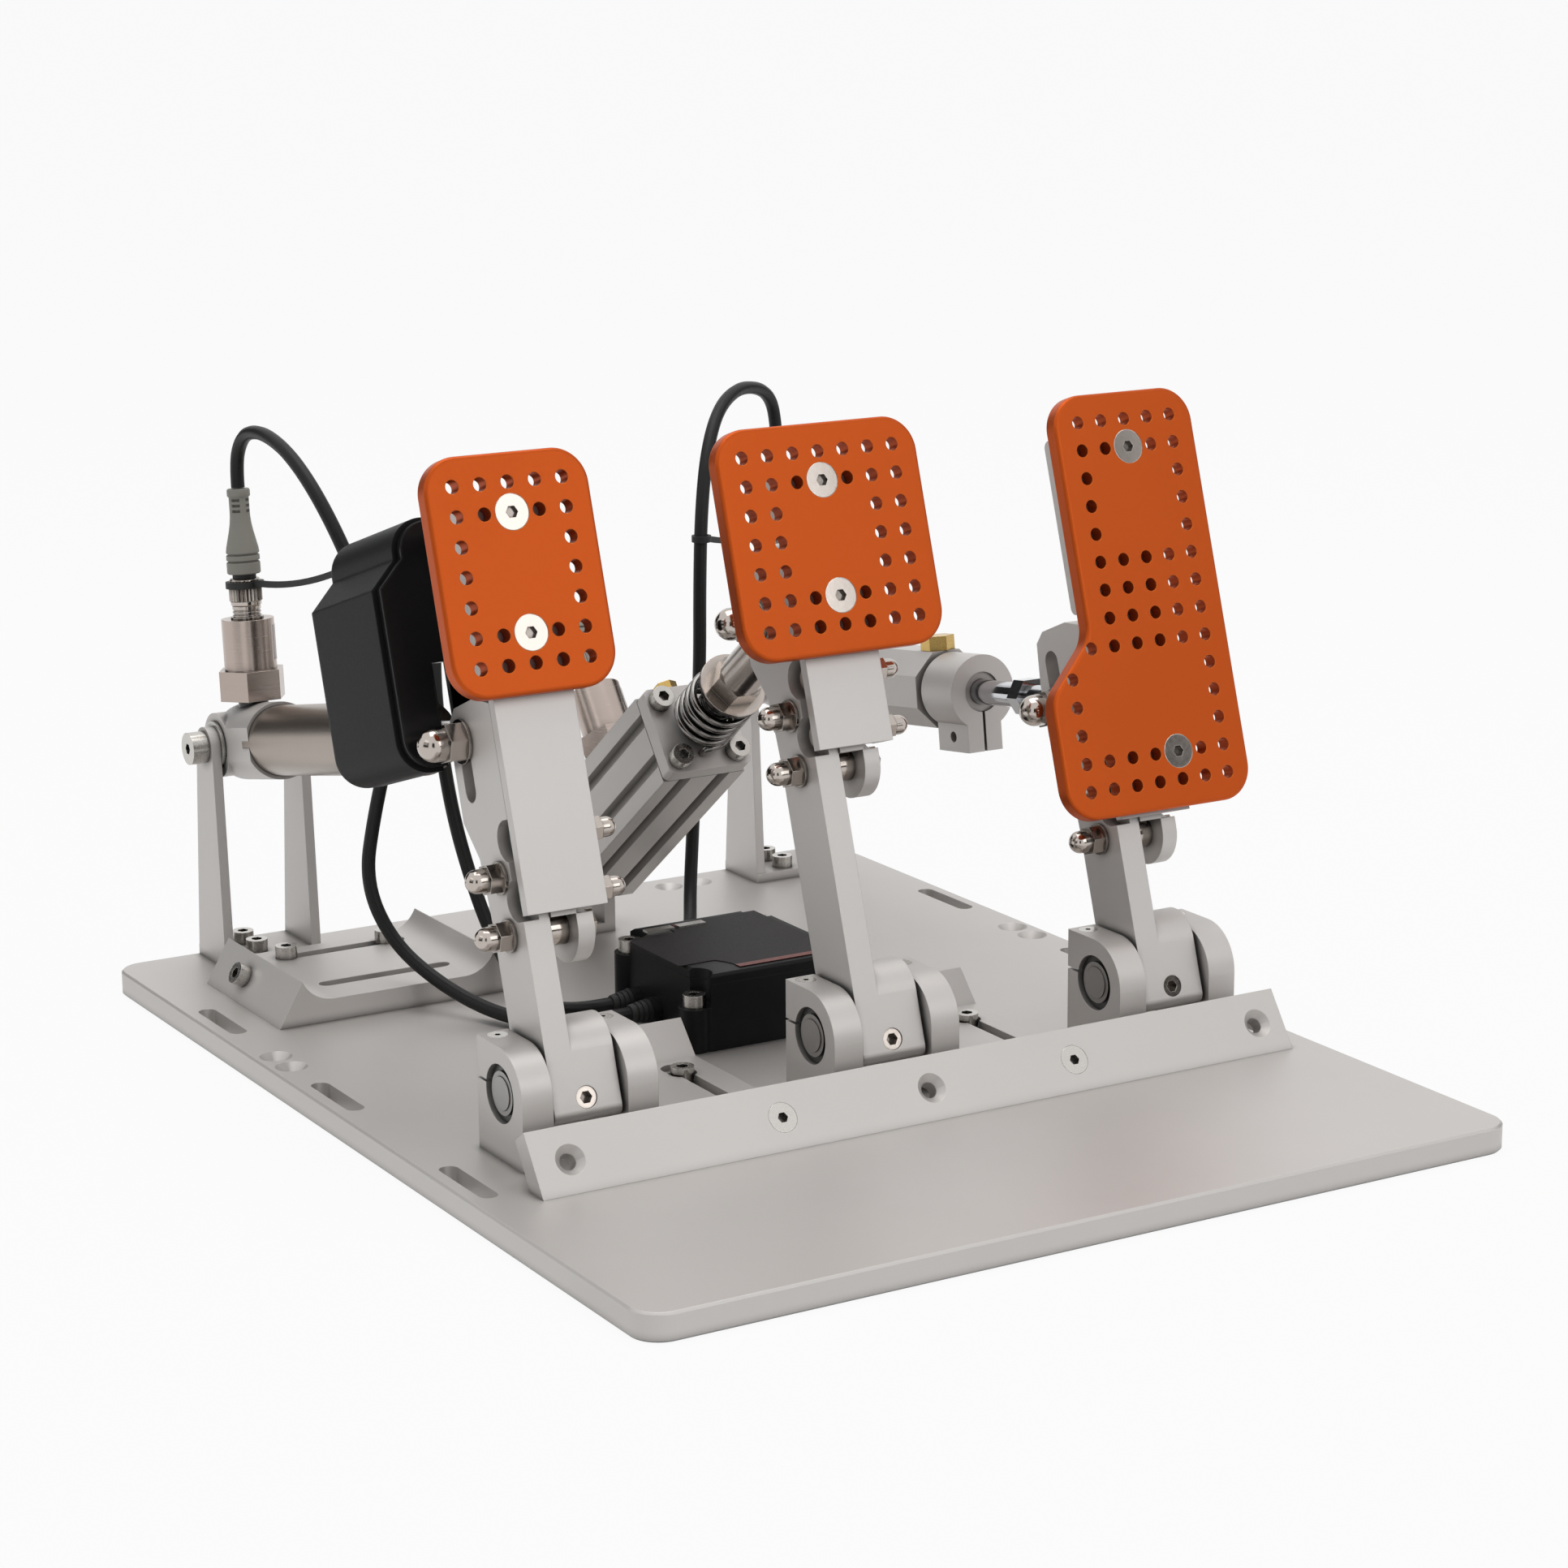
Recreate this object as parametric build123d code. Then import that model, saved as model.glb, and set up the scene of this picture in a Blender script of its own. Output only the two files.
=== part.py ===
from build123d import *
import math
import os

# Base plate
plate_width = 350
plate_depth = 450
plate_thickness = 10
plate_corner = 11
plate_chamfer = 0.8
front = -plate_depth / 2

# Slots and countersunk holes along the plate's edges
edge_hole_inset = 8.5
edge_hole_x = plate_width / 2 - edge_hole_inset
edge_slot_width = 7
edge_slot_length = 37
edge_slot_first = front + 140.5
edge_slot_pitch = 107.75
edge_slot_count = 3
pair_pitch = 14.5
pair_hole_radius = 3.2
pair_sink_radius = 6.25
edge_pair_y = front + 297
rear_pair_x = 83
rear_pair_inset = 13
rear_pair_y = front + plate_depth - rear_pair_inset

# Heel rail, a leaning bar across the plate
rail_left_inset = 21.5
rail_right_inset = 13
rail_left = rail_left_inset - plate_width / 2
rail_right = plate_width / 2 - rail_right_inset
rail_foot_y = front + 110
rail_lean = 35
rail_face_height = 24.4
rail_bar_thickness = 8
rail_hole_middle = 5.5
rail_hole_inner = 61.7
rail_hole_inset = 12.75
rail_hole_outer = (rail_right - rail_left) / 2 - rail_hole_inset
rail_hole_radius = 3
rail_sink_radius = 5.6
rail_socket_flats = 3.5

# Pedals on their shafts
pedal_names = ["clutch", "brake", "throttle"]
pedal_pitch = 124.5
pedal_middle = 4
hinge_y = front + 154.5
hinge_z = 34
pedal_lean = 17.5
shaft_radius = 6
shaft_half = 26
clip_radius = 7.9
clip_thickness = 1
bearing_radius = 10.5
bearing_width = 5
bearing_recess = 2
running_gap = 0.05
seat_gap = 0.05

# Bearing blocks
bearing_inner = 14.5
bearing_outer = 26.5
bearing_nose = 17
bearing_back = 17
clamp_screw_y = 12.6
clamp_head_radius = 3.8
clamp_shank_radius = 1.95
clamp_head_depth = 4
clamp_screw_end = 14
clamp_slit = 1
clamp_slit_up = 2

# Side feet beside the clutch and the brake
foot_right = 82
foot_front = 4.5
foot_back = 67
foot_flat_top = 14
foot_ridge_front = 56
foot_ridge_top = 26
foot_slot_x = 68
foot_slot_width = 5.4
foot_slot_front = 8
foot_slot_back = 50
foot_sink_radius = 5.4
foot_sink_depth = 2.4
foot_screw_y = 41

# Arm plate and hub
hub_half = 13.1
arm_half = 12.5
hub_bottom = -14
hub_corner = 4
hub_boss_middle = 10.5
arm_right = -3.1
arm_waist = 57.8
arm_flare = 65
arm_flare_back = 13
arm_bulge = 81
arm_bulge_back = 14.5
arm_back_low = 94.5
arm_back_high = 115
arm_back = 23
arm_shoulder = 130.5
arm_shoulder_back = 21
arm_top_back = 16
arm_top_rise = 134.5
arm_top_middle = 136
arm_top_front = 133
cheek_left = 7.1
cheek_right = 13.6
brake_rise = 41.8
slot_back = 13
slot_low = 105
slot_high = 122.5
slot_width = 8.4
brake_pin_up = 5
pin_heights = [slot_high, slot_low + brake_rise + brake_pin_up, slot_low]
pocket_radius = 7.3
pocket_across = -9.2
pocket_low = 64.3
pocket_high = 85.2
pocket_neck = -8
pocket_depth = 6
grub_height = -6
grub_radius = 4
grub_flats = 4
grub_socket_depth = 3
grub_sink = 0.4

# Formed bracket that carries the foot plate
web_left = -13.5
web_right = 17.5
web_front = -17.5
web_back = -13.5
web_low = 58.8
web_low_brake = 100.6
web_high = 204
flange_thickness = 3.8
flange_back = -6.3
flange_corner = 3
flange_high_low = 137.5
tenon_left = -2.9
tenon_right = 6.9
tenon_back = -6.1

# Bolts, cap nuts and spacers of a pedal
plate_bolt_low = 53
plate_bolt_high = 73.2
bolt_radius = 3
bolt_head_flats = 10
bolt_head_height = 4.5
nut_flats = 10
nut_height = 5
nut_dome_radius = 4.3
nut_dome_straight = 3
washer_radius = 6
washer_thickness = 1.2
pin_radius = 4
pin_nut_flats = 13
pin_nut_height = 6.5
pin_dome_radius = 6
pin_dome_straight = 3.5
pin_washer_radius = 8
spacer_radius = 5.9
cross_head_radius = 4.2
cross_head_height = 2.6
cross_nut_flats = 8
cross_bolt_radius = 2.5
cross_dome_radius = 3.6
cross_socket_flats = 3
socket_depth = 1.8

# Foot plates
face_front = -23.5
face_thickness = 6
face_middle = 2
face_pitch = 10.5
face_margin = 10.5
face_corner = 13
face_top = 207
face_hole_radius = 2.5
face_edge_round = 1.4
face_screw_radius = 6.45
face_screw_shank = 3
face_screw_sink = 3.2
face_screw_flats = 4
clutch_columns = 5
brake_columns = 7
face_rows = 7
bare_rows = [2, 3, 4]
screw_rows = [1, 5]
throttle_top = 207.9
throttle_bottom = 70.4
throttle_rows = 14
throttle_narrow_columns = 5
throttle_wide_columns = 7
throttle_full_rows = [0, 5, 6, 7]
throttle_edge_rows = [2, 3, 4]
throttle_step_row = 8
throttle_low_edge_rows = [9, 10, 11]
throttle_screw_rows = [1, 12]
throttle_step_high = 7.6
throttle_step_low = 9.6

# Linkage: rear pivots, forward eyes and their slack
far_pivot_y = front + 434
far_pivot_z = 100
brake_pivot_y = front + 400
brake_pivot_z = 32
line_offset = 2
eye_slack = 0.7
tongue_thickness = 9.6
tongue_radius = 8
tongue_length = 14

# U brackets at the rear of the clutch and the throttle
stand_offset = 3.5
stand_half = 21
stand_wall = 4
stand_front = front + 421
stand_back = front + 449
stand_foot = 4
stand_top_radius = 8
pivot_bolt_radius = 4
pivot_head_radius = 6.5
pivot_head_height = 7
spacer_washer_radius = 10
spacer_washer_thickness = 1.2
stand_screw_x = -4.5
stand_screw_ys = [front + 427.5, front + 442]

# Raised base below the clutch's rear
sub_left = -152
sub_right = -50
sub_front = front + 334
sub_back = front + 407
sub_crest = 27.5
sub_crest_in = 10
sub_floor = 19
sub_floor_in = 23
sub_slot_left = -126.5
sub_slot_right = -70.5
sub_slot_width = 6.5
sub_slot_front_y = front + 353.7
sub_slot_back_y = front + 396
sub_screw_left_x = -122
sub_screw_right_x = -78.5
sub_side_screw_y = front + 379
sub_side_screw_z = 19

# Cap screws with a hexagon socket
cap_head_radius = 4.4
cap_head_height = 5
cap_shank_radius = 2.4
cap_shank_length = 6
cap_socket_flats = 4
cap_socket_depth = 2.5

# Pressure sensor, its knurled nut and the cable's boot
sensor_lean = 4.6
sensor_base_y = front + 427.5
sensor_base_z = 114
neck_radius = 6
neck_height = 5
sensor_hex_flats = 24
sensor_hex_height = 12
sensor_body_radius = 10.5
sensor_body_height = 20.4
sensor_nut_radius = 6
sensor_nut_height = 18
boot_radius = 6.5
boot_tip_radius = 3.5
boot_height = 34
boot_ribs = 4
boot_groove = 0.8

# Clutch cylinder and its rear housing
tube_radius = 14
tube_front = 66
head_radius = 15.5
head_half = 14
head_front_clear = 34
head_socket = 7
head_eye_radius = 13
rod_radius = 6
rod_overlap = 26
rod_collar_start = 17
rod_collar_end = 24
rod_collar_radius = 9
housing_left = -31.5
housing_right = 36.5
housing_front = 24
housing_back = 88
housing_low = 114
housing_shoulder = 180
housing_crown = 24
housing_high = housing_shoulder + housing_crown
housing_shoulder_in = 10
housing_corner = 12
housing_back_round = 5
housing_wall = 3
lid_thickness = 4
lid_inset = 1.5
tunnel_half = 17
tunnel_top_back = 168
tunnel_top_front = 152
mount_radius = 3
mount_high = 196
mount_low = 150
mount_across = 6

# Brake cylinder, spring and rod
brake_body_half = 18
brake_body_start = 99
brake_body_end = 217
groove_width = 5.5
groove_depth = 4
groove_inset = 9.5
groove_offset = brake_body_half - groove_inset
front_plate_thickness = 7
front_plate_start = 91.5
front_plate_corner = 2.5
quarter_turn = 90
brake_bore_end = 150
brake_rod_overlap = 26
plate_screw_inset = 5.5
plate_screw_offset = brake_body_half - plate_screw_inset
brake_rod_radius = 7
brake_cap_radius = 8.5
brake_cap_end = 48
brake_hex_flats = 17
brake_hex_end = 56
seat_radius = 13.2
seat_start = 56
seat_thickness = 2
spring_radius = 11.8
spring_wire = 2.8
spring_turns = 4.5
spring_bend = 2.2
spring_bend_turn = 0.19
spring_points = 600
spring_apart = 12
bleeder_along = 105
bleeder_flats = 8
bleeder_height = 7
brake_sensor_along = 160
clevis_half = 12
clevis_wall = 5
clevis_front = front + 388
clevis_back = front + 414
brake_eye_radius = 11
brake_eye_half = 9

# Throttle cylinder, collar and rod
throttle_rod_radius = 5
throttle_nut_flats = 13.5
throttle_nut_start = 40
throttle_nut_end = 47
collar_start = 76
collar_end = 98
collar_radius = 15
collar_lug_half = 8
collar_lug_low = -24
collar_slit = 1.2
collar_bush_radius = 8
throttle_body_start = 101
throttle_body_flats = 31
throttle_neck_radius = 12
throttle_bore_end = 170
throttle_rod_overlap = 40
octagon_turn = 22.5
collar_screw_radius = 2.2
collar_screw_up = -18
throttle_brass_along = 107
throttle_brass_flats = 12
throttle_brass_height = 6

# Control box between the brake and the throttle
box_left = -27
box_right = 37
box_front = front + 222
box_back = front + 294
box_top = 40
box_lid_thickness = 4
box_lid_chamfer = 1
box_corner = 3
box_lug_radius = 6
box_notch_radius = 7
box_front_lug_top = 27
box_rear_lug_top = 33
lug_in = 6
lug_front_left_x = -2
lug_rear_left_x = 3
connector_first_x = -18
connector_pitch = 14
connector_width = 12
connector_depth = 4
connector_height = 0.8
connector_y = front + 284
socket_length = 4
socket_radius = 5
socket_z = 17
clutch_socket_y = front + 261
brake_socket_y = front + 276
throttle_socket_x = 11.5

# Cables
cable_radius = 2.75
cable_gaps = (0.4, 1.7, 0.4)
arc_share = 0.45


def span(x, y, z):
    """A box between pairs of limits along the three axes."""
    middle = Pos((x[0] + x[1]) / 2, (y[0] + y[1]) / 2, (z[0] + z[1]) / 2)
    return middle * Box(x[1] - x[0], y[1] - y[0], z[1] - z[0])


def side_plane(x, y, z, lean):
    """A side view: x runs back along the lean, y up across it, z to the right."""
    turn = math.radians(lean)
    return Plane(origin=(x, y, z), x_dir=(0, math.cos(turn), -math.sin(turn)), z_dir=(1, 0, 0))


def cross_rod(radius, left, right, along=0, up=0):
    """A cylinder across the side view."""
    return Pos(along, up, (left + right) / 2) * Cylinder(radius, right - left)


def along_rod(radius, start, end, up=0, across=0):
    """A cylinder along the side view's back direction."""
    return Pos((start + end) / 2, up, across) * Rot(0, 90, 0) * Cylinder(radius, end - start)


def up_rod(radius, bottom, top, along=0, across=0):
    """A cylinder along the side view's up direction."""
    return Pos(along, (bottom + top) / 2, across) * Rot(90, 0, 0) * Cylinder(radius, top - bottom)


def slab(outline, left, right):
    """A side view outline made solid between two places across."""
    return Pos(0, 0, left) * extrude(outline, right - left, dir=(0, 0, 1))


def front_view(outline, start, depth):
    """A sketch drawn across and up, made solid towards the back from one place."""
    return Pos(start, 0, 0) * extrude(Plane.ZY.location * outline, depth, dir=(1, 0, 0))


def hexagon(flats, height):
    """A hexagonal prism standing on its origin along z."""
    return extrude(RegularPolygon(flats / 2, 6, major_radius=False), height)


def disc(radius, bottom, top):
    """An upright cylinder between two heights."""
    return Pos(0, 0, (bottom + top) / 2) * Cylinder(radius, top - bottom)


def sink(radius, sink_radius, depth):
    """A countersunk hole going down from its origin."""
    cone_depth = sink_radius - radius
    cone = Pos(0, 0, -cone_depth / 2) * Cone(radius, sink_radius, cone_depth)
    return disc(radius, -depth, 0) + cone


def cap_screw(head_radius, head_height, shank_radius, shank_length, flats, depth):
    """A screw with a round head and a hexagon socket, its head seated on the origin."""
    head = disc(head_radius, 0, head_height)
    socket = Pos(0, 0, head_height - depth) * hexagon(flats, depth)
    return head + disc(shank_radius, -shank_length, 0) - socket


def standard_cap_screw():
    """The cap screw used on the base."""
    return cap_screw(cap_head_radius, cap_head_height, cap_shank_radius, cap_shank_length,
                     cap_socket_flats, cap_socket_depth)


def cap_nut(flats, height, dome_radius, straight, bore_radius):
    """A domed nut growing up from its seat, with a blind bore for the bolt."""
    dome = disc(dome_radius, height, height + straight)
    dome += Pos(0, 0, height + straight) * Sphere(dome_radius)
    bore = disc(bore_radius + seat_gap, 0, height + straight / 2)
    return hexagon(flats, height) + dome - bore


def washer(radius, bore_radius, thickness):
    """A flat ring standing on its origin."""
    return disc(radius, 0, thickness) - disc(bore_radius + seat_gap, 0, thickness)


def short_cap_screw(shank_length):
    """A base cap screw whose shank ends on the plate's top."""
    return cap_screw(cap_head_radius, cap_head_height, cap_shank_radius, shank_length,
                     cap_socket_flats, cap_socket_depth)


def toward_left(shape):
    """Turn a piece that grows to the right so that it grows to the left."""
    return Rot(180, 0, 0) * shape


def write(name, *pieces):
    """Write every solid of one sub-part to its file."""
    solids = [solid for piece in pieces for solid in piece.solids()]
    export_step(Compound(solids), f"parts/{name}.step")


def make_base_plate():
    """The flat plate with its edge slots and countersunk hole pairs."""
    middle = plate_thickness / 2
    plate = Pos(0, 0, middle) * Box(plate_width, plate_depth, plate_thickness)
    plate = fillet(plate.edges().filter_by(Axis.Z), plate_corner)
    rims = plate.edges().group_by(Axis.Z)[-1] + plate.edges().group_by(Axis.Z)[0]
    plate = chamfer(rims, plate_chamfer)
    slot = extrude(SlotOverall(edge_slot_length, edge_slot_width, rotation=90), plate_thickness)
    hole = Pos(0, 0, plate_thickness) * sink(pair_hole_radius, pair_sink_radius, plate_thickness)
    for side in (-1, 1):
        for index in range(edge_slot_count):
            plate -= Pos(side * edge_hole_x, edge_slot_first + index * edge_slot_pitch, 0) * slot
        for step in (-1, 1):
            plate -= Pos(side * edge_hole_x, edge_pair_y + step * pair_pitch / 2, 0) * hole
    for step in (-1, 1):
        plate -= Pos(rear_pair_x + step * pair_pitch / 2, rear_pair_y, 0) * hole
    return plate


def rail_plane(x):
    """The middle of the rail's front face at one place across, facing out of it."""
    lean = math.radians(rail_lean)
    half = rail_face_height / 2
    origin = (x, rail_foot_y + half * math.sin(lean), plate_thickness + half * math.cos(lean))
    return Plane(origin=origin, x_dir=(1, 0, 0), z_dir=(0, -math.cos(lean), math.sin(lean)))


def make_heel_rail():
    """A bar that leans back, cut flat below, with five countersunk holes."""
    lean = math.radians(rail_lean)
    rise = rail_face_height * math.cos(lean)
    run = rail_face_height * math.sin(lean)
    lip_run = rail_bar_thickness * math.cos(lean)
    lip_drop = rail_bar_thickness * math.sin(lean)
    foot_depth = rail_bar_thickness / math.cos(lean)
    outline = Polygon((0, 0), (run, rise), (run + lip_run, rise - lip_drop), (foot_depth, 0),
                      align=None)
    view = Plane(origin=(rail_left, rail_foot_y, plate_thickness), x_dir=(0, 1, 0), z_dir=(1, 0, 0))
    rail = view.location * slab(outline, 0, rail_right - rail_left)
    for x in rail_hole_places():
        rail -= rail_plane(x).location * sink(rail_hole_radius, rail_sink_radius, rail_face_height)
    return rail


def rail_hole_places():
    """Places of the rail's holes, left to right."""
    offsets = (-rail_hole_outer, -rail_hole_inner, 0, rail_hole_inner, rail_hole_outer)
    return [rail_hole_middle + offset for offset in offsets]


def make_rail_screws():
    """Flush countersunk screws in the rail's second and fourth holes."""
    screws = []
    cone_depth = rail_sink_radius - rail_hole_radius
    head_radius = rail_sink_radius - seat_gap
    cone = Pos(0, 0, -cone_depth / 2) * Cone(rail_hole_radius - seat_gap, head_radius, cone_depth)
    body = cone + disc(rail_hole_radius - seat_gap, -rail_bar_thickness, -cone_depth)
    body -= Pos(0, 0, -cone_depth) * hexagon(rail_socket_flats, cone_depth)
    places = rail_hole_places()
    for x in (places[1], places[3]):
        screws.append(rail_plane(x).location * body)
    return screws


def pedal_x(index):
    """Place of a pedal across the base."""
    return pedal_middle + (index - 1) * pedal_pitch


def hinge_plane(index):
    """The upright side view at a pedal's hinge."""
    return side_plane(pedal_x(index), hinge_y, hinge_z, 0)


def pedal_plane(index):
    """The leaning side view of a pedal, its origin on the hinge."""
    return side_plane(pedal_x(index), hinge_y, hinge_z, pedal_lean)


def block_outline():
    """A bearing block seen from the side, with its bore and slit."""
    drop = hinge_z - plate_thickness
    outline = Circle(bearing_nose)
    outline += Pos((bearing_back - bearing_nose) / 2, -drop / 2) * Rectangle(
        bearing_back + bearing_nose, drop)
    outline += Pos(bearing_back / 2, bearing_nose / 2) * Rectangle(bearing_back, bearing_nose)
    outline -= Circle(bearing_radius + seat_gap)
    outline -= Pos(bearing_back / 2, clamp_slit_up) * Rectangle(bearing_back, clamp_slit)
    return outline


def make_bearing_pieces():
    """Two blocks for each pedal, with a bearing and a clamp screw in each."""
    blocks = []
    bearings = []
    screws = []
    head_seat = bearing_nose - clamp_head_depth
    width = bearing_outer - bearing_inner
    middle = (bearing_inner + bearing_outer) / 2
    screw_hole = up_rod(clamp_shank_radius + seat_gap, -clamp_screw_end, head_seat, clamp_screw_y)
    screw_hole += up_rod(clamp_head_radius + seat_gap, head_seat, bearing_nose, clamp_screw_y)
    block = slab(block_outline(), -width / 2, width / 2) - screw_hole
    screw = cap_screw(clamp_head_radius, clamp_head_depth, clamp_shank_radius,
                      head_seat + clamp_screw_end, clamp_shank_radius, clamp_head_depth / 2)
    screw = Pos(clamp_screw_y, head_seat, 0) * Rot(-90, 0, 0) * screw
    for index in range(len(pedal_names)):
        plane = hinge_plane(index).location
        for side in (-1, 1):
            blocks.append(plane * Pos(0, 0, side * middle) * block)
            screws.append(plane * Pos(0, 0, side * middle) * screw)
            outer = side * (bearing_outer - bearing_recess)
            inner = side * (bearing_outer - bearing_recess - bearing_width)
            ring = cross_rod(bearing_radius, min(inner, outer), max(inner, outer))
            ring -= cross_rod(shaft_radius + running_gap, min(inner, outer), max(inner, outer))
            bearings.append(plane * ring)
    return blocks, bearings, screws


def foot_screw_place(index):
    """Place of a side foot's screw head on the base."""
    return pedal_x(index) + foot_slot_x, hinge_y + foot_screw_y, foot_flat_top - foot_sink_depth


def make_side_feet():
    """A slotted foot with a rear ridge to the right of the clutch and of the brake."""
    feet = []
    base_z = plate_thickness - hinge_z
    flat = foot_flat_top - hinge_z
    ridge = foot_ridge_top - hinge_z
    outline = Polygon((foot_front, base_z), (foot_front, flat), (foot_ridge_front, flat),
                      (foot_back, ridge), (foot_back, base_z), align=None)
    for index in (0, 1):
        plane = hinge_plane(index).location
        foot = slab(outline, bearing_outer, foot_right)
        slot_middle = (foot_slot_front + foot_slot_back) / 2
        slot = SlotOverall(foot_slot_back - foot_slot_front, foot_slot_width, rotation=90)
        cut = Pos(foot_slot_x, slot_middle, 0) * extrude(slot, foot_flat_top)
        cut += Pos(foot_slot_x, foot_screw_y, foot_flat_top - foot_sink_depth) * disc(
            foot_sink_radius, 0, foot_sink_depth)
        cut += Pos(foot_slot_x, foot_screw_y + foot_sink_radius,
                   foot_flat_top - foot_sink_depth) * disc(foot_sink_radius, 0, foot_sink_depth)
        foot = plane * foot - Pos(pedal_x(index), hinge_y, 0) * cut
        feet.append(foot)
    return feet


def make_rear_sub_base():
    """The raised base below the clutch's rear, with two crests and two slots."""
    width = sub_right - sub_left
    height = sub_crest - plate_thickness
    floor = sub_floor - plate_thickness
    with BuildSketch() as profile:
        with BuildLine():
            Line((0, 0), (sub_crest_in, height))
            TangentArc((sub_floor_in, floor), (sub_crest_in, height), tangent=(-1, 0))
            Line((sub_floor_in, floor), (width - sub_floor_in, floor))
            TangentArc((width - sub_floor_in, floor), (width - sub_crest_in, height), tangent=(1, 0))
            Line((width - sub_crest_in, height), (width, 0))
            Line((width, 0), (0, 0))
        make_face()
    view = Plane(origin=(sub_left, sub_back, plate_thickness), x_dir=(1, 0, 0), z_dir=(0, -1, 0))
    base = view.location * slab(profile.sketch, 0, sub_back - sub_front)
    slot_middle = (sub_slot_left + sub_slot_right) / 2
    slot = extrude(SlotOverall(sub_slot_right - sub_slot_left, sub_slot_width), sub_crest)
    for y in (sub_slot_front_y, sub_slot_back_y):
        base -= Pos(slot_middle, y, plate_thickness) * slot
    return base


def side_screw_plane():
    """The place on the sub-base's left slope where a screw sits, facing out."""
    slope = math.atan2(sub_crest - plate_thickness, sub_crest_in)
    x = sub_left + (sub_side_screw_z - plate_thickness) / math.tan(slope)
    normal = (-math.sin(slope), 0, math.cos(slope))
    return Plane(origin=(x, sub_side_screw_y, sub_side_screw_z), x_dir=(0, 1, 0), z_dir=normal)


def make_stand(index):
    """A U bracket with two uprights that narrow towards the rear pivot."""
    x = pedal_x(index) + stand_offset
    foot_front_point = stand_front - far_pivot_y
    foot_back_point = stand_back - far_pivot_y
    foot = plate_thickness - far_pivot_z
    outline = Polygon((foot_front_point, foot), (foot_back_point, foot), (stand_top_radius, 0),
                      (-stand_top_radius, 0), align=None)
    outline += Circle(stand_top_radius)
    outline -= Circle(pivot_bolt_radius + seat_gap)
    plane = side_plane(x, far_pivot_y, far_pivot_z, 0).location
    stand = span((x - stand_half, x + stand_half), (stand_front, stand_back),
                 (plate_thickness, plate_thickness + stand_foot))
    stand += plane * slab(outline, -stand_half, stand_wall - stand_half)
    stand += plane * slab(outline, stand_half - stand_wall, stand_half)
    return stand


def make_pivot_bolt(index):
    """The bolt across a U bracket, with a cap nut and two black spacing washers."""
    plane = side_plane(pedal_x(index) + stand_offset, far_pivot_y, far_pivot_z, 0).location
    bolt = Pos(0, 0, -stand_half) * toward_left(
        cap_screw(pivot_head_radius, pivot_head_height, pivot_bolt_radius,
                  2 * stand_half + pin_nut_height, pivot_bolt_radius, socket_depth))
    nut = Pos(0, 0, stand_half) * cap_nut(pin_nut_flats, pin_nut_height, pin_dome_radius,
                                          pin_dome_straight, pivot_bolt_radius)
    ring = washer(spacer_washer_radius, pivot_bolt_radius, spacer_washer_thickness)
    inner = stand_half - stand_wall
    left_ring = Pos(0, 0, -inner) * ring
    right_ring = Pos(0, 0, inner - spacer_washer_thickness) * ring
    return [plane * piece for piece in (bolt, nut, left_ring, right_ring)]


def make_brake_clevis():
    """A low clevis on the plate that holds the brake cylinder's rear eye."""
    x = pedal_x(1) + line_offset
    plane = side_plane(x, brake_pivot_y, brake_pivot_z, 0).location
    drop = brake_pivot_z - plate_thickness
    back = clevis_back - brake_pivot_y
    forward = clevis_front - brake_pivot_y
    outline = Pos((forward + back) / 2, -drop / 2) * Rectangle(back - forward, drop)
    outline += Circle(brake_eye_radius)
    outline -= Circle(pivot_bolt_radius + seat_gap)
    foot = Pos((forward + back) / 2, stand_foot / 2 - drop) * Rectangle(back - forward, stand_foot)
    outer = clevis_half + clevis_wall
    clevis = slab(outline, -outer, -clevis_half) + slab(outline, clevis_half, outer)
    clevis += slab(foot, -outer, outer)
    pin = Pos(0, 0, -outer) * toward_left(
        cap_screw(pivot_head_radius, pivot_head_height, pivot_bolt_radius,
                  2 * outer + pin_nut_height, pivot_bolt_radius, socket_depth))
    nut = Pos(0, 0, outer) * cap_nut(pin_nut_flats, pin_nut_height, pin_dome_radius,
                                     pin_dome_straight, pivot_bolt_radius)
    return plane * clevis, [plane * pin, plane * nut]


def make_base_supports():
    """Write the side feet, sub-base, rear brackets, pivot bolts and all base cap screws."""
    feet = make_side_feet()
    sub_base = make_rear_sub_base()
    clutch_stand = make_stand(0)
    throttle_stand = make_stand(2)
    clevis, clevis_pieces = make_brake_clevis()
    places = [foot_screw_place(0), foot_screw_place(1)]
    places.append((sub_screw_left_x, sub_slot_back_y, sub_floor))
    places.append((sub_screw_right_x, sub_slot_back_y, sub_floor))
    foot_top = plate_thickness + stand_foot
    for index in (0, 2):
        x = pedal_x(index) + stand_offset + stand_screw_x
        places += [(x, y, foot_top) for y in stand_screw_ys]
    screws = [Pos(*place) * short_cap_screw(place[2] - plate_thickness) for place in places]
    hole = disc(cap_shank_radius + seat_gap, 0, sub_crest)
    for place in places[4:6]:
        clutch_stand -= Pos(place[0], place[1], plate_thickness) * hole
    for place in places[6:]:
        throttle_stand -= Pos(place[0], place[1], plate_thickness) * hole
    side = side_screw_plane().location
    sub_base -= side * disc(cap_shank_radius + seat_gap, -cap_shank_length, 0)
    screws.append(side * standard_cap_screw())
    for x, y, top in box_lugs():
        screws.append(Pos(x, y, top) * standard_cap_screw())
    write("side_feet", *feet)
    write("rear_sub_base", sub_base)
    write("clutch_rear_bracket", clutch_stand)
    write("throttle_rear_bracket", throttle_stand)
    write("brake_rear_bracket", clevis)
    write("rear_pivot_bolts", *make_pivot_bolt(0), *make_pivot_bolt(2), *clevis_pieces)
    write("base_cap_screws", *screws)


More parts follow.
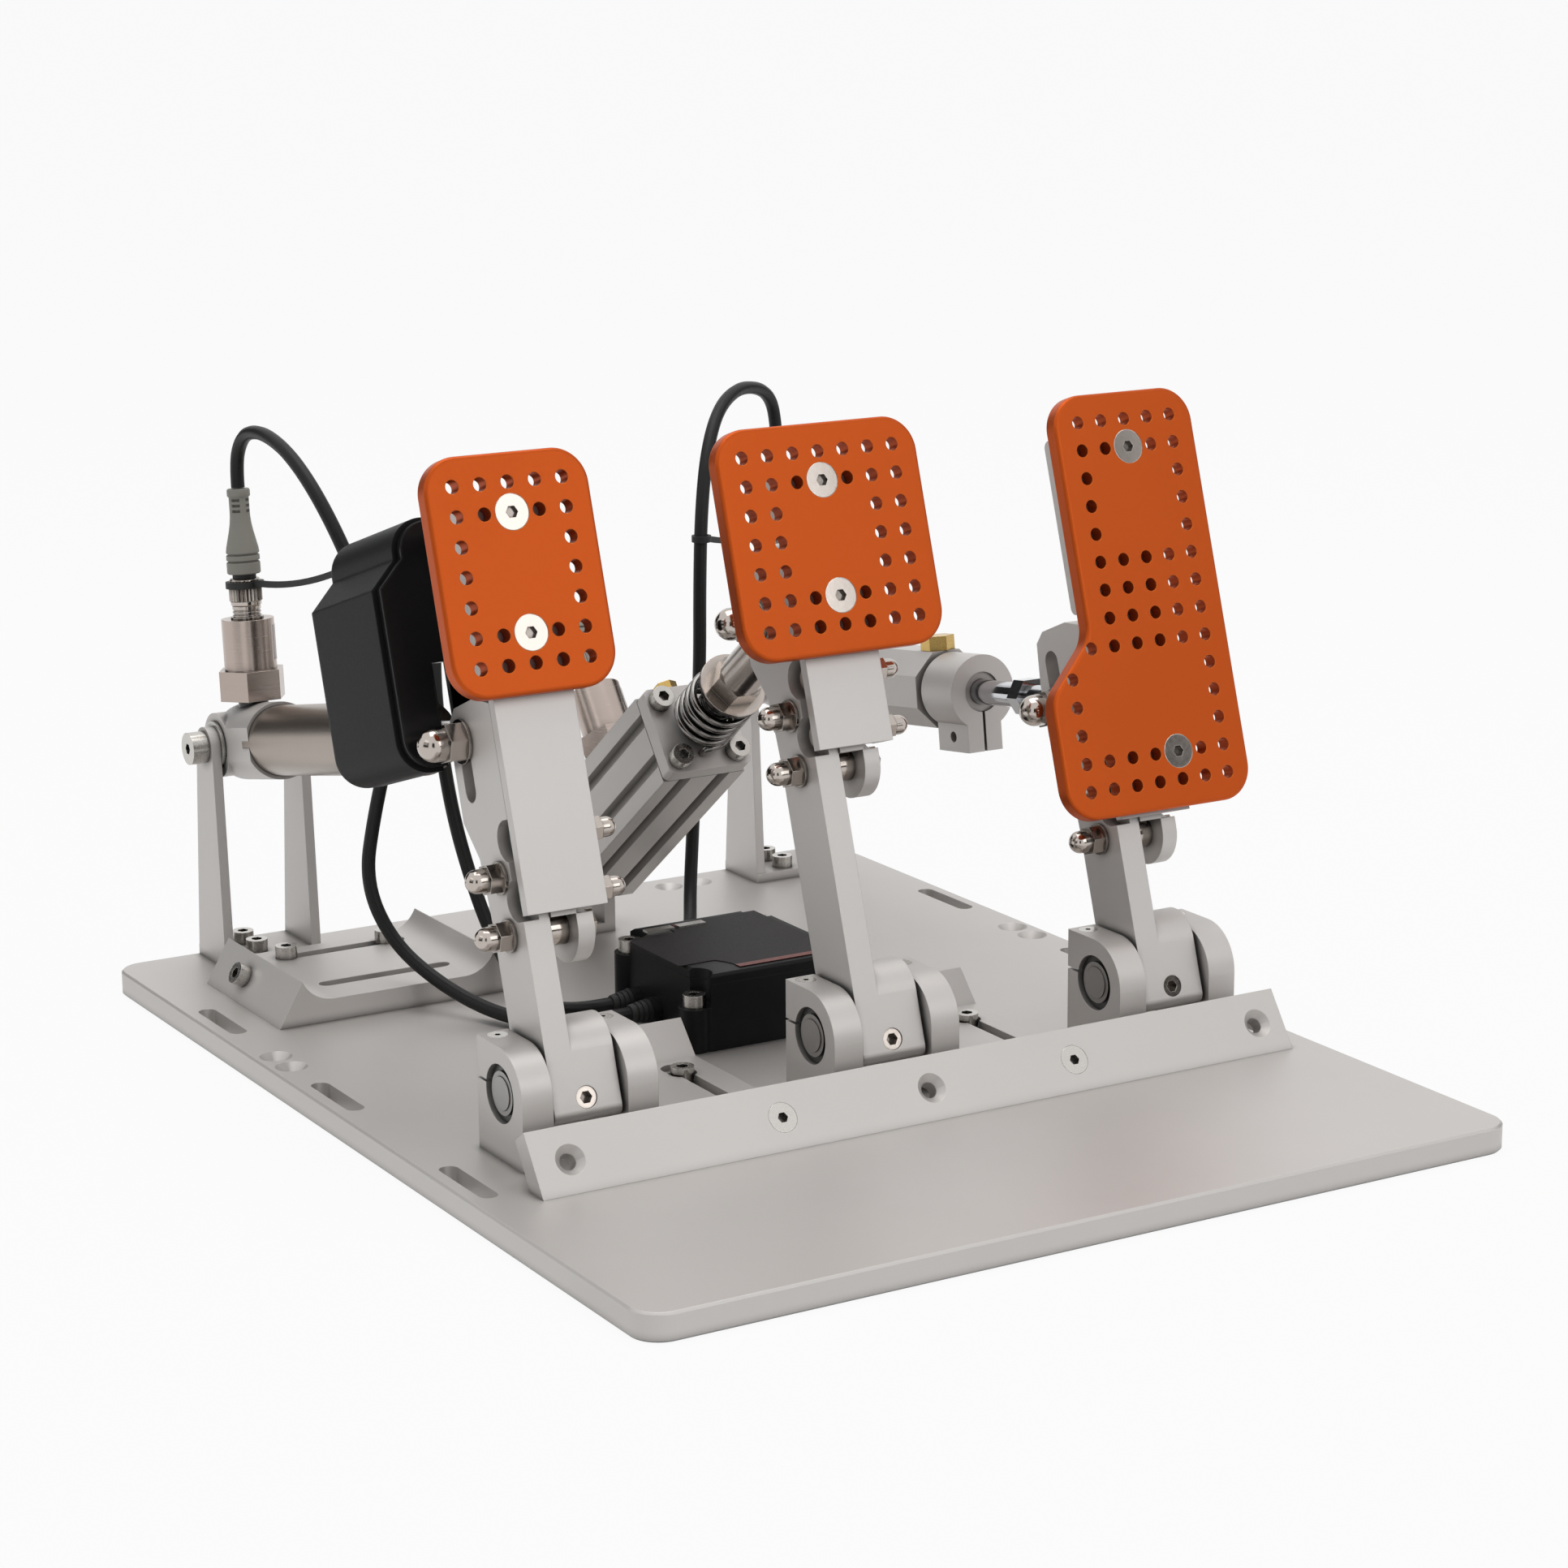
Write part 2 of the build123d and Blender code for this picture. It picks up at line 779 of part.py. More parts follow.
def plate_outline(rise, bottom):
    """The upper part of an arm plate, seen from the side."""
    return Polygon((-arm_half, bottom), (-arm_half, arm_top_front + rise), (0, arm_top_middle + rise),
                   (arm_top_back, arm_top_rise + rise), (arm_shoulder_back, arm_shoulder + rise),
                   (arm_back, arm_back_high + rise), (arm_back, arm_back_low + rise),
                   (arm_bulge_back, arm_bulge + rise), (arm_flare_back, arm_flare + rise),
                   (arm_half, arm_waist + rise), (arm_half, bottom), align=None)


def pin_slot(rise):
    """The long slot that takes the linkage pin."""
    length = slot_high - slot_low + slot_width
    middle = (slot_high + slot_low) / 2 + rise
    return Pos(slot_back, middle) * SlotOverall(length, slot_width, rotation=90)


def wavy_cut(rise):
    """Two round bays joined by a neck, open to the front."""
    outline = Pos(pocket_across, pocket_low + rise) * Circle(pocket_radius)
    outline += Pos(pocket_across, pocket_high + rise) * Circle(pocket_radius)
    low = pocket_low - pocket_radius + rise
    high = pocket_high + pocket_radius + rise
    reach = 2 * arm_half + pocket_neck
    outline += Pos(pocket_neck - reach / 2, (low + high) / 2) * Rectangle(reach, high - low)
    return outline


def bolt_holes(rise, slack):
    """Round holes for the two plate bolts."""
    holes = Pos(0, plate_bolt_low + rise) * Circle(bolt_radius + slack)
    return holes + Pos(0, plate_bolt_high + rise) * Circle(bolt_radius + slack)


def make_arm(rise):
    """The hub and the left plate, one solid."""
    outline = plate_outline(rise, 0) - pin_slot(rise) - bolt_holes(rise, seat_gap)
    arm = slab(outline, -hub_half, arm_right)
    low_block = Pos(0, (hub_bottom + hub_boss_middle) / 2) * Rectangle(
        2 * arm_half, hub_boss_middle - hub_bottom)
    boss = low_block + Pos(0, hub_boss_middle) * Circle(arm_half)
    boss = slab(boss, -hub_half, hub_half)
    low_edges = boss.edges().filter_by(Axis.Z).group_by(Axis.Y)[0]
    arm += fillet(low_edges, hub_corner)
    arm -= slab(wavy_cut(rise), -hub_half, pocket_depth - hub_half)
    cross_reach = arm_right + hub_half
    for height in (pocket_low, pocket_high):
        arm -= cross_rod(cross_bolt_radius + seat_gap, -hub_half, cross_reach, pocket_across,
                         height + rise)
    arm -= cross_rod(shaft_radius + seat_gap, -hub_half, hub_half)
    arm -= along_rod(grub_radius + seat_gap, -arm_half, -shaft_radius, grub_height)
    return arm


def make_cheek(rise):
    """The right plate, rounded at its lower end."""
    low = plate_bolt_low + rise
    cheek = slab(plate_outline(rise, low), cheek_left, cheek_right)
    cheek += cross_rod(arm_half, cheek_left, cheek_right, 0, low)
    cuts = pin_slot(rise) + bolt_holes(rise, seat_gap) + wavy_cut(rise)
    return cheek - slab(cuts, cheek_left, cheek_right)


def make_bracket(rise, low):
    """The formed bracket: a web in front, a side flange low down and two above the plates."""
    high = web_high
    web = Pos((web_front + web_back) / 2, (low + high) / 2) * Rectangle(web_back - web_front,
                                                                       high - low)
    bracket = slab(web, web_left, web_right)
    depth = flange_back - web_front
    side_middle = (flange_back + web_front) / 2
    right = Pos(side_middle, (low + high) / 2) * Rectangle(depth, high - low)
    right = fillet(right.vertices().group_by(Axis.X)[-1], flange_corner)
    bracket += slab(right, web_right - flange_thickness, web_right)
    start = flange_high_low + rise
    left = Pos(side_middle, (start + high) / 2) * Rectangle(depth, high - start)
    left = fillet(left.vertices().group_by(Axis.X)[-1], flange_corner)
    bracket += slab(left, web_left, web_left + flange_thickness)
    tenon_low = pocket_low - pocket_radius + rise
    tenon_high = pocket_high + pocket_radius + rise
    tenon = Pos((web_back + tenon_back) / 2, (tenon_low + tenon_high) / 2) * Rectangle(
        tenon_back - web_back, tenon_high - tenon_low)
    bracket += slab(tenon, tenon_left, tenon_right)
    for height in (pocket_low, pocket_high):
        bracket -= cross_rod(cross_bolt_radius + seat_gap, tenon_left, web_right, pocket_across,
                             height + rise)
    return bracket


def make_shaft():
    """The shaft across the blocks, with a retaining ring near each end."""
    shaft = cross_rod(shaft_radius, -shaft_half, shaft_half)
    pieces = [shaft]
    seat = bearing_outer - bearing_recess + 2 * running_gap
    for side in (-1, 1):
        near = side * seat
        far = side * (seat + clip_thickness)
        ring = cross_rod(clip_radius, min(near, far), max(near, far))
        ring -= cross_rod(shaft_radius + seat_gap, min(near, far), max(near, far))
        pieces.append(ring)
    return pieces


def make_plate_bolt(height):
    """A bolt through both plates: head at the right, spacer between, cap nut at the left."""
    reach = hub_half + washer_thickness + nut_height
    bolt = cross_rod(bolt_radius, -reach, cheek_right, 0, height)
    bolt += Pos(0, height, cheek_right) * hexagon(bolt_head_flats, bolt_head_height)
    ring = washer(washer_radius, bolt_radius, washer_thickness)
    nut = cap_nut(nut_flats, nut_height, nut_dome_radius, nut_dome_straight, bolt_radius)
    spacer = cross_rod(spacer_radius, arm_right, cheek_left, 0, height)
    spacer -= cross_rod(bolt_radius + seat_gap, arm_right, cheek_left, 0, height)
    left_ring = Pos(0, height, -hub_half) * toward_left(ring)
    left_nut = Pos(0, height, -hub_half - washer_thickness) * toward_left(nut)
    return [bolt, left_ring, left_nut, spacer]


def make_pin(height):
    """The linkage pin: head at the right, washer and large cap nut at the left."""
    reach = hub_half + washer_thickness + pin_nut_height
    pin = cross_rod(pin_radius, -reach, cheek_right, slot_back, height)
    pin += Pos(slot_back, height, cheek_right) * hexagon(pin_nut_flats, bolt_head_height)
    ring = washer(pin_washer_radius, pin_radius, washer_thickness)
    nut = cap_nut(pin_nut_flats, pin_nut_height, pin_dome_radius, pin_dome_straight, pin_radius)
    left_ring = Pos(slot_back, height, -hub_half) * toward_left(ring)
    left_nut = Pos(slot_back, height, -hub_half - washer_thickness) * toward_left(nut)
    return [pin, left_ring, left_nut]


def make_cross_bolt(height):
    """A button head bolt from the pocket through the tenon to the bracket's flange."""
    pocket_floor = pocket_depth - hub_half
    bolt = cap_screw(cross_head_radius, cross_head_height, cross_bolt_radius,
                     web_right + nut_height - pocket_floor, cross_socket_flats, socket_depth)
    bolt = Pos(pocket_across, height, pocket_floor) * toward_left(bolt)
    nut = cap_nut(cross_nut_flats, nut_height, cross_dome_radius, nut_dome_straight,
                  cross_bolt_radius)
    return [bolt, Pos(pocket_across, height, web_right) * nut]


def make_grub():
    """The grub screw in the hub's flat front."""
    grub = along_rod(grub_radius, grub_sink - arm_half, -shaft_radius, grub_height)
    socket = Rot(0, 90, 0) * hexagon(grub_flats, grub_socket_depth)
    return grub - Pos(grub_sink - arm_half, grub_height, 0) * socket


def hole_grid(columns, rows, top):
    """Places of a foot plate's grid, as row, column, across and height."""
    left = face_middle - (columns - 1) * face_pitch / 2
    return [(row, column, left + column * face_pitch, top - row * face_pitch)
            for row in range(rows) for column in range(columns)]


def is_open(row, column, columns):
    """Whether a place of a square foot plate's grid has a hole."""
    from_side = min(column, columns - 1 - column)
    outer = 1 if columns == clutch_columns else 2
    if row in bare_rows:
        return from_side < outer
    if row in screw_rows:
        return column != (columns - 1) // 2
    return True


def face_drill(across, height):
    """A round cutter through a foot plate."""
    return along_rod(face_hole_radius, face_front, face_front + face_thickness, height, across)


def sink_screw_places(index):
    """Places of the two screws in a foot plate, as across and height."""
    if index == 2:
        return [(throttle_x(2), throttle_height(throttle_screw_rows[0])),
                (throttle_x(2), throttle_height(throttle_screw_rows[1]))]
    return [(face_middle, face_top - row * face_pitch) for row in screw_rows]


def throttle_x(column):
    """Place across of a throttle column, counted from the right."""
    return face_middle + (throttle_wide_columns - 1) * face_pitch / 2 - column * face_pitch


def throttle_height(row):
    """Height of a throttle row, counted from the top."""
    step = (throttle_top - throttle_bottom) / (throttle_rows - 1)
    return throttle_top - row * step


def throttle_columns(row):
    """Columns with a hole in one throttle row, counted from the right."""
    if row in throttle_full_rows:
        return range(throttle_narrow_columns)
    if row in throttle_edge_rows:
        return (0, throttle_narrow_columns - 1)
    if row == throttle_step_row:
        return range(throttle_narrow_columns + 1)
    if row in throttle_low_edge_rows:
        return (0, throttle_wide_columns - 1)
    if row == throttle_screw_rows[0]:
        return [column for column in range(throttle_narrow_columns) if column != 2]
    if row == throttle_screw_rows[1]:
        return [column for column in range(throttle_wide_columns) if column != 2]
    return range(throttle_wide_columns)


def square_face_outline(columns):
    """A rounded rectangle about a grid of holes, drawn across and up."""
    width = (columns - 1) * face_pitch + 2 * face_margin
    height = (face_rows - 1) * face_pitch + 2 * face_margin
    middle = face_top - (face_rows - 1) * face_pitch / 2
    return Pos(face_middle, middle) * RectangleRounded(width, height, face_corner)


def throttle_face_outline():
    """The long foot plate, which steps out to the left low down."""
    right = throttle_x(0) + face_margin
    narrow = throttle_x(throttle_narrow_columns - 1) - face_margin
    wide = throttle_x(throttle_wide_columns - 1) - face_margin
    high = throttle_top + face_margin
    low = throttle_bottom - face_margin
    step_high = throttle_height(throttle_step_high)
    step_low = throttle_height(throttle_step_low)
    outline = Polygon((right, low), (right, high), (narrow, high), (narrow, step_high),
                      (wide, step_low), (wide, low), align=None)
    return fillet(outline.vertices(), face_corner)


def make_foot_plate(index):
    """A perforated foot plate with its countersinks."""
    if index == 2:
        outline = throttle_face_outline()
        places = [(throttle_x(column), throttle_height(row))
                  for row in range(throttle_rows) for column in throttle_columns(row)]
    else:
        columns = clutch_columns if index == 0 else brake_columns
        outline = square_face_outline(columns)
        places = [(across, height) for row, column, across, height
                  in hole_grid(columns, face_rows, face_top) if is_open(row, column, columns)]
    face = front_view(outline, face_front, face_thickness)
    rims = face.edges().group_by(Axis.X)[0]
    face = fillet(rims, face_edge_round)
    for across, height in places:
        face -= face_drill(across, height)
    for across, height in sink_screw_places(index):
        cutter = sink(face_screw_shank + seat_gap, face_screw_radius + seat_gap, face_thickness)
        face -= Pos(face_front, height, across) * Rot(0, -90, 0) * cutter
    return face


def make_face_screws(index):
    """Two countersunk screws that hold the foot plate on the web."""
    cone_depth = face_screw_radius - face_screw_shank
    cone = Pos(0, 0, -cone_depth / 2) * Cone(face_screw_shank, face_screw_radius, cone_depth)
    screw = cone + disc(face_screw_shank, -face_thickness, -cone_depth)
    screw -= Pos(0, 0, -face_screw_sink / 2) * hexagon(face_screw_flats, face_screw_sink / 2)
    return [Pos(face_front, height, across) * Rot(0, -90, 0) * screw
            for across, height in sink_screw_places(index)]


def make_pedal(index):
    """Write every piece of one pedal."""
    name = pedal_names[index]
    rise = brake_rise if index == 1 else 0
    low = web_low_brake if index == 1 else web_low
    pin_height = pin_heights[index]
    plane = pedal_plane(index).location
    fasteners = make_plate_bolt(plate_bolt_low + rise) + make_plate_bolt(plate_bolt_high + rise)
    fasteners += make_pin(pin_height)
    fasteners += make_cross_bolt(pocket_low + rise) + make_cross_bolt(pocket_high + rise)
    fasteners += [make_grub()] + make_face_screws(index)
    write(f"{name}_arm", plane * make_arm(rise))
    write(f"{name}_cheek", plane * make_cheek(rise))
    write(f"{name}_bracket", plane * make_bracket(rise, low))
    write(f"{name}_face", plane * make_foot_plate(index))
    write(f"{name}_shaft", *[plane * piece for piece in make_shaft()])
    write(f"{name}_fasteners", *[plane * piece for piece in fasteners])


def eye_place(index):
    """The linkage pin's place along the base and up, from the pedal's lean."""
    lean = math.radians(pedal_lean)
    height = pin_heights[index]
    y = hinge_y + slot_back * math.cos(lean) + height * math.sin(lean)
    z = hinge_z - slot_back * math.sin(lean) + height * math.cos(lean)
    return y, z


def rear_pivot(index):
    """The rear pivot's place along the base and up."""
    if index == 1:
        return brake_pivot_y, brake_pivot_z
    return far_pivot_y, far_pivot_z


def line_length(index):
    """Distance from the linkage pin to the rear pivot."""
    y, z = eye_place(index)
    far_y, far_z = rear_pivot(index)
    return math.hypot(far_y - y, far_z - z)


def line_lean(index):
    """How far the cylinder's line runs down towards the rear, in degrees."""
    y, z = eye_place(index)
    far_y, far_z = rear_pivot(index)
    return math.degrees(math.atan2(z - far_z, far_y - y))


def line_plane(index):
    """The side view along a cylinder, its origin on the linkage pin."""
    y, z = eye_place(index)
    return side_plane(pedal_x(index) + line_offset, y, z, line_lean(index))


def make_tongue():
    """The flat eye at a rod's front end, with slack round the linkage pin."""
    outline = Circle(tongue_radius)
    outline += Pos(tongue_length / 2, 0) * Rectangle(tongue_length, 2 * tongue_radius)
    outline -= Circle(pin_radius + eye_slack)
    return slab(outline, -tongue_thickness / 2, tongue_thickness / 2)


def make_sensor():
    """Neck, hexagon and round body of a pressure sensor, upright on its origin."""
    body_bottom = neck_height + sensor_hex_height
    sensor = disc(neck_radius, 0, neck_height)
    sensor += Pos(0, 0, neck_height) * hexagon(sensor_hex_flats, sensor_hex_height)
    return sensor + disc(sensor_body_radius, body_bottom, body_bottom + sensor_body_height)


def make_plug():
    """The knurled nut and the ribbed boot above the sensor's body."""
    bottom = neck_height + sensor_hex_height + sensor_body_height
    top = bottom + sensor_nut_height
    nut = disc(sensor_nut_radius, bottom, top)
    boot = Pos(0, 0, top + boot_height / 2) * Cone(boot_radius, boot_tip_radius, boot_height)
    step = boot_height / 2 / boot_ribs
    for rib in range(boot_ribs):
        height = top + boot_height / 2 + rib * step
        ring = disc(boot_radius, height, height + step / 2)
        boot -= ring - disc(boot_tip_radius - boot_groove, height, height + step / 2)
    return nut, boot


def sensor_height():
    """Height of the boot's tip above the sensor's foot."""
    body_top = neck_height + sensor_hex_height + sensor_body_height
    return body_top + sensor_nut_height + boot_height


def sensor_plane(index):
    """The foot of a sensor, facing up along it."""
    if index == 1:
        lean = math.radians(line_lean(1))
        y, z = eye_place(1)
        seat = brake_body_half - neck_height
        y += brake_sensor_along * math.cos(lean) + seat * math.sin(lean)
        z += seat * math.cos(lean) - brake_sensor_along * math.sin(lean)
    else:
        lean = math.radians(sensor_lean)
        y, z = sensor_base_y, sensor_base_z
    x = pedal_x(index) + line_offset
    return Plane(origin=(x, y, z), x_dir=(1, 0, 0), z_dir=(0, math.sin(lean), math.cos(lean)))


def write_sensor(index):
    """Write one sensor and its plug."""
    name = pedal_names[index]
    plane = sensor_plane(index).location
    write(f"{name}_sensor", plane * make_sensor())
    write(f"{name}_plug", *[plane * piece for piece in make_plug()])


def make_round_head(index, inner_radius):
    """The light round head at the rear of a cylinder, with its eye and a bore in front."""
    length = line_length(index)
    start = length - head_front_clear
    head = along_rod(head_radius, start, length)
    head &= span((start, length), (-head_radius, head_radius), (-head_half, head_half))
    head += cross_rod(head_eye_radius, -head_half, head_half, length)
    head -= along_rod(inner_radius + seat_gap, start, start + head_socket)
    head -= cross_rod(pivot_bolt_radius + running_gap, -head_half, head_half, length)
    head = line_plane(index).location * head
    return head - sensor_plane(index).location * disc(neck_radius + seat_gap, 0, neck_height)


def make_clutch_line():
    """Write the clutch's tube, head, sensor, plug and rod."""
    plane = line_plane(0).location
    tube_end = line_length(0) - head_front_clear + head_socket
    tube = along_rod(tube_radius, tube_front, tube_end)
    tube -= along_rod(rod_radius + running_gap, tube_front, tube_end)
    rod = make_tongue() + along_rod(rod_collar_radius, rod_collar_start, rod_collar_end)
    rod += along_rod(rod_radius, tongue_length, tube_front + rod_overlap)
    write("clutch_tube", plane * tube)
    write("clutch_head", make_round_head(0, tube_radius))
    write("clutch_rod", plane * rod)
    write_sensor(0)


def housing_outline(inset):
    """The rear housing seen from the front, narrower above its shoulders."""
    left = housing_left + inset
    right = housing_right - inset
    low = housing_low + inset
    high = housing_high - inset
    outline = Polygon((left, low), (left, housing_shoulder),
                      (left + housing_shoulder_in, housing_shoulder + housing_shoulder_in),
                      (left + housing_shoulder_in, high), (right - housing_shoulder_in, high),
                      (right - housing_shoulder_in, housing_shoulder + housing_shoulder_in),
                      (right, housing_shoulder), (right, low), align=None)
    corners = outline.vertices().group_by(Axis.Y)
    outline = fillet(corners[0] + corners[-1], housing_corner - inset)
    return outline


def make_rear_housing():
    """Write the clutch's hollow rear housing, its lid and the mounts that carry it."""
    plane = pedal_plane(0).location
    shell_start = housing_front + lid_thickness
    depth = housing_back - shell_start
    shell = front_view(housing_outline(0), shell_start, depth)
    shell = fillet(shell.edges().group_by(Axis.X)[-1], housing_back_round)
    shell -= front_view(housing_outline(housing_wall), shell_start, depth - housing_wall)
    tunnel = (line_offset - tunnel_half, line_offset + tunnel_half)
    shell -= span((shell_start, housing_back), (housing_low, tunnel_top_back), tunnel)
    lid = front_view(housing_outline(lid_inset), housing_front, lid_thickness)
    lid -= span((housing_front, shell_start), (housing_low, tunnel_top_front), tunnel)
    mounts = []
    for height in (mount_low, mount_high):
        for side in (-1, 1):
            across = line_offset + side * mount_across
            mounts.append(along_rod(mount_radius, web_back, housing_front, height, across))
    write("rear_housing", plane * shell)
    write("rear_housing_lid", plane * lid)
    write("housing_mounts", *[plane * mount for mount in mounts])


def helix_point(start, rise, angle):
    """A point on the spring's helix at one angle."""
    return Vector(start + rise * angle / (math.pi / 2), spring_radius * math.cos(angle),
                  spring_radius * math.sin(angle))


def helix_tangent(rise, angle):
    """The helix's direction at one angle."""
    step = rise / (math.pi / 2)
    direction = Vector(step, -spring_radius * math.sin(angle), spring_radius * math.cos(angle))
    return direction.normalized()


def biarc(start, start_way, end, end_way):
    """Two arcs that meet smoothly between two points with given directions."""
    gap = end - start
    ways = start_way + end_way
    near = 2 * (1 - start_way.dot(end_way))
    along = gap.dot(ways)
    reach = (-along + math.sqrt(along * along + near * gap.dot(gap))) / near
    joint = (start + end + (start_way - end_way) * reach) / 2
    first = Edge.make_tangent_arc(start, start_way, joint)
    return [first, Edge.make_tangent_arc(joint, first % 1, end)]


def least_gap(wire, thickness):
    """The least gap between a wire's own stretches, measured on points along it."""
    places = [wire @ (step / spring_points) for step in range(spring_points + 1)]
    skip = math.ceil(spring_apart / wire.length * spring_points)
    gaps = []
    for low in range(len(places) - skip):
        for high in range(low + skip, len(places)):
            gaps.append((places[high] - places[low]).length)
    return min(gaps) - thickness


def make_spring():
    """The brake's spring: one unbroken wire with its curls, ends square to their seats."""
    start = seat_start + seat_thickness
    end = front_plate_start
    lead = spring_wire + spring_bend
    count = round(spring_turns * 4)
    last_angle = count * math.pi / 2
    rise = (end - start - 2 * lead) / count
    first = start + lead
    along = Vector(1, 0, 0)
    seat = helix_point(start, 0, -spring_bend_turn)
    plate = helix_point(end, 0, last_angle + spring_bend_turn)
    straight = along * spring_wire
    edges = [Edge.make_line(seat, seat + straight)]
    edges += biarc(seat + straight, along, helix_point(first, rise, 0), helix_tangent(rise, 0))
    for step in range(count):
        low = step * math.pi / 2
        high = low + math.pi / 2
        edges += biarc(helix_point(first, rise, low), helix_tangent(rise, low),
                       helix_point(first, rise, high), helix_tangent(rise, high))
    edges += biarc(helix_point(first, rise, last_angle), helix_tangent(rise, last_angle),
                   plate - straight, along)
    edges.append(Edge.make_line(plate - straight, plate))
    wire = Wire(edges)
    print("spring: least gap between its curls", round(least_gap(wire, spring_wire), 2), "mm")
    section = Plane(origin=wire @ 0, z_dir=along).location * Circle(spring_wire / 2)
    return sweep(section, path=wire)


def make_brake_line():
    """Write the brake's cylinder, front plate, screws, bleeder, sensor, plug, rod and spring."""
    length = line_length(1)
    plane = line_plane(1).location
    place = plane.inverse() * sensor_plane(1).location
    bore_end = length - brake_body_half
    body = span((brake_body_start, brake_body_end), (-brake_body_half, brake_body_half),
                (-brake_body_half, brake_body_half))
    for turn in range(4):
        for side in (-1, 1):
            groove = span((brake_body_start, brake_body_end),
                          (brake_body_half - groove_depth, brake_body_half),
                          (side * groove_offset - groove_width / 2,
                           side * groove_offset + groove_width / 2))
            body -= Rot(turn * quarter_turn, 0, 0) * groove
    neck = span((brake_body_end, length), (-brake_eye_half, brake_eye_half),
                (-brake_eye_half, brake_eye_half))
    body += neck + cross_rod(brake_eye_radius, -brake_eye_half, brake_eye_half, length)
    body -= cross_rod(pivot_bolt_radius + running_gap, -brake_eye_half, brake_eye_half, length)
    body -= along_rod(brake_rod_radius + running_gap, brake_body_start, brake_bore_end)
    body -= place * disc(neck_radius + seat_gap, 0, neck_height)
    front_end = front_plate_start + front_plate_thickness
    cap = span((front_plate_start, front_end), (-brake_body_half, brake_body_half),
               (-brake_body_half, brake_body_half))
    cap = fillet(cap.edges().filter_by(Axis.X), front_plate_corner)
    cap -= along_rod(brake_rod_radius + running_gap, front_plate_start, front_end)
    screws = []
    for up in (-plate_screw_offset, plate_screw_offset):
        for across in (-plate_screw_offset, plate_screw_offset):
            screws.append(Pos(front_plate_start, up, across) * Rot(0, -90, 0) * standard_cap_screw())
            cap -= along_rod(cap_shank_radius + seat_gap, front_plate_start, front_end, up, across)
    rod = make_tongue() + along_rod(brake_cap_radius, tongue_length, brake_cap_end)
    rod += Pos(brake_cap_end, 0, 0) * Rot(0, 90, 0) * hexagon(brake_hex_flats,
                                                          brake_hex_end - brake_cap_end)
    rod += along_rod(seat_radius, brake_hex_end, brake_hex_end + seat_thickness)
    rod += along_rod(brake_rod_radius, brake_hex_end, front_end + brake_rod_overlap)
    bleeder = Pos(bleeder_along, brake_body_half, 0) * Rot(-90, 0, 0) * hexagon(
        bleeder_flats, bleeder_height)
    write("brake_cylinder", plane * body)
    write("brake_front_plate", plane * cap)
    write("brake_plate_screws", *[plane * screw for screw in screws])
    write("brake_bleeder", plane * bleeder)
    write("brake_rod", plane * rod)
    write("brake_spring", plane * make_spring())
    write_sensor(1)


def make_throttle_line():
    """Write the throttle's cylinder, head, clamp collar, sensor, plug and rod."""
    length = line_length(2)
    plane = line_plane(2).location
    body_end = length - head_front_clear + head_socket
    octagon = RegularPolygon(throttle_body_flats / 2, 8, major_radius=False, rotation=octagon_turn)
    body = front_view(octagon, throttle_body_start, length - head_front_clear - throttle_body_start)
    body += along_rod(tube_radius, throttle_body_start, body_end)
    body += along_rod(throttle_neck_radius, collar_end, throttle_body_start)
    body -= along_rod(throttle_rod_radius + running_gap, collar_end, throttle_bore_end)
    brass = Pos(throttle_brass_along, throttle_body_flats / 2, 0) * Rot(-90, 0, 0) * hexagon(
        throttle_brass_flats, throttle_brass_height)
    outline = Circle(collar_radius)
    outline += Pos(0, collar_lug_low / 2) * Rectangle(2 * collar_lug_half, -collar_lug_low)
    outline -= Circle(collar_bush_radius + seat_gap)
    outline -= Pos(0, collar_lug_low / 2) * Rectangle(collar_slit, -collar_lug_low)
    collar = front_view(outline, collar_start, collar_end - collar_start)
    collar -= cross_rod(collar_screw_radius, -collar_radius, collar_radius,
                        (collar_start + collar_end) / 2, collar_screw_up)
    bush = along_rod(collar_bush_radius, collar_start + collar_slit, collar_end)
    bush -= along_rod(throttle_rod_radius + running_gap, collar_start, collar_end)
    rod = make_tongue() + along_rod(throttle_rod_radius, tongue_length,
                                    collar_end + throttle_rod_overlap)
    rod += Pos(throttle_nut_start, 0, 0) * Rot(0, 90, 0) * hexagon(
        throttle_nut_flats, throttle_nut_end - throttle_nut_start)
    write("throttle_cylinder", plane * body)
    write("throttle_head", make_round_head(2, tube_radius))
    write("throttle_collar", plane * collar, plane * bush)
    write("throttle_brass", plane * brass)
    write("throttle_rod", plane * rod)
    write_sensor(2)


def box_lugs():
    """Place and top of each screw lug of the control box."""
    return [(box_left + lug_front_left_x, box_front + lug_in, box_front_lug_top),
            (box_left + lug_rear_left_x, box_back - lug_in, box_rear_lug_top),
            (box_right - lug_in / 2, box_front + lug_in, box_front_lug_top),
            (box_right - lug_in / 2, box_back - lug_in, box_rear_lug_top)]


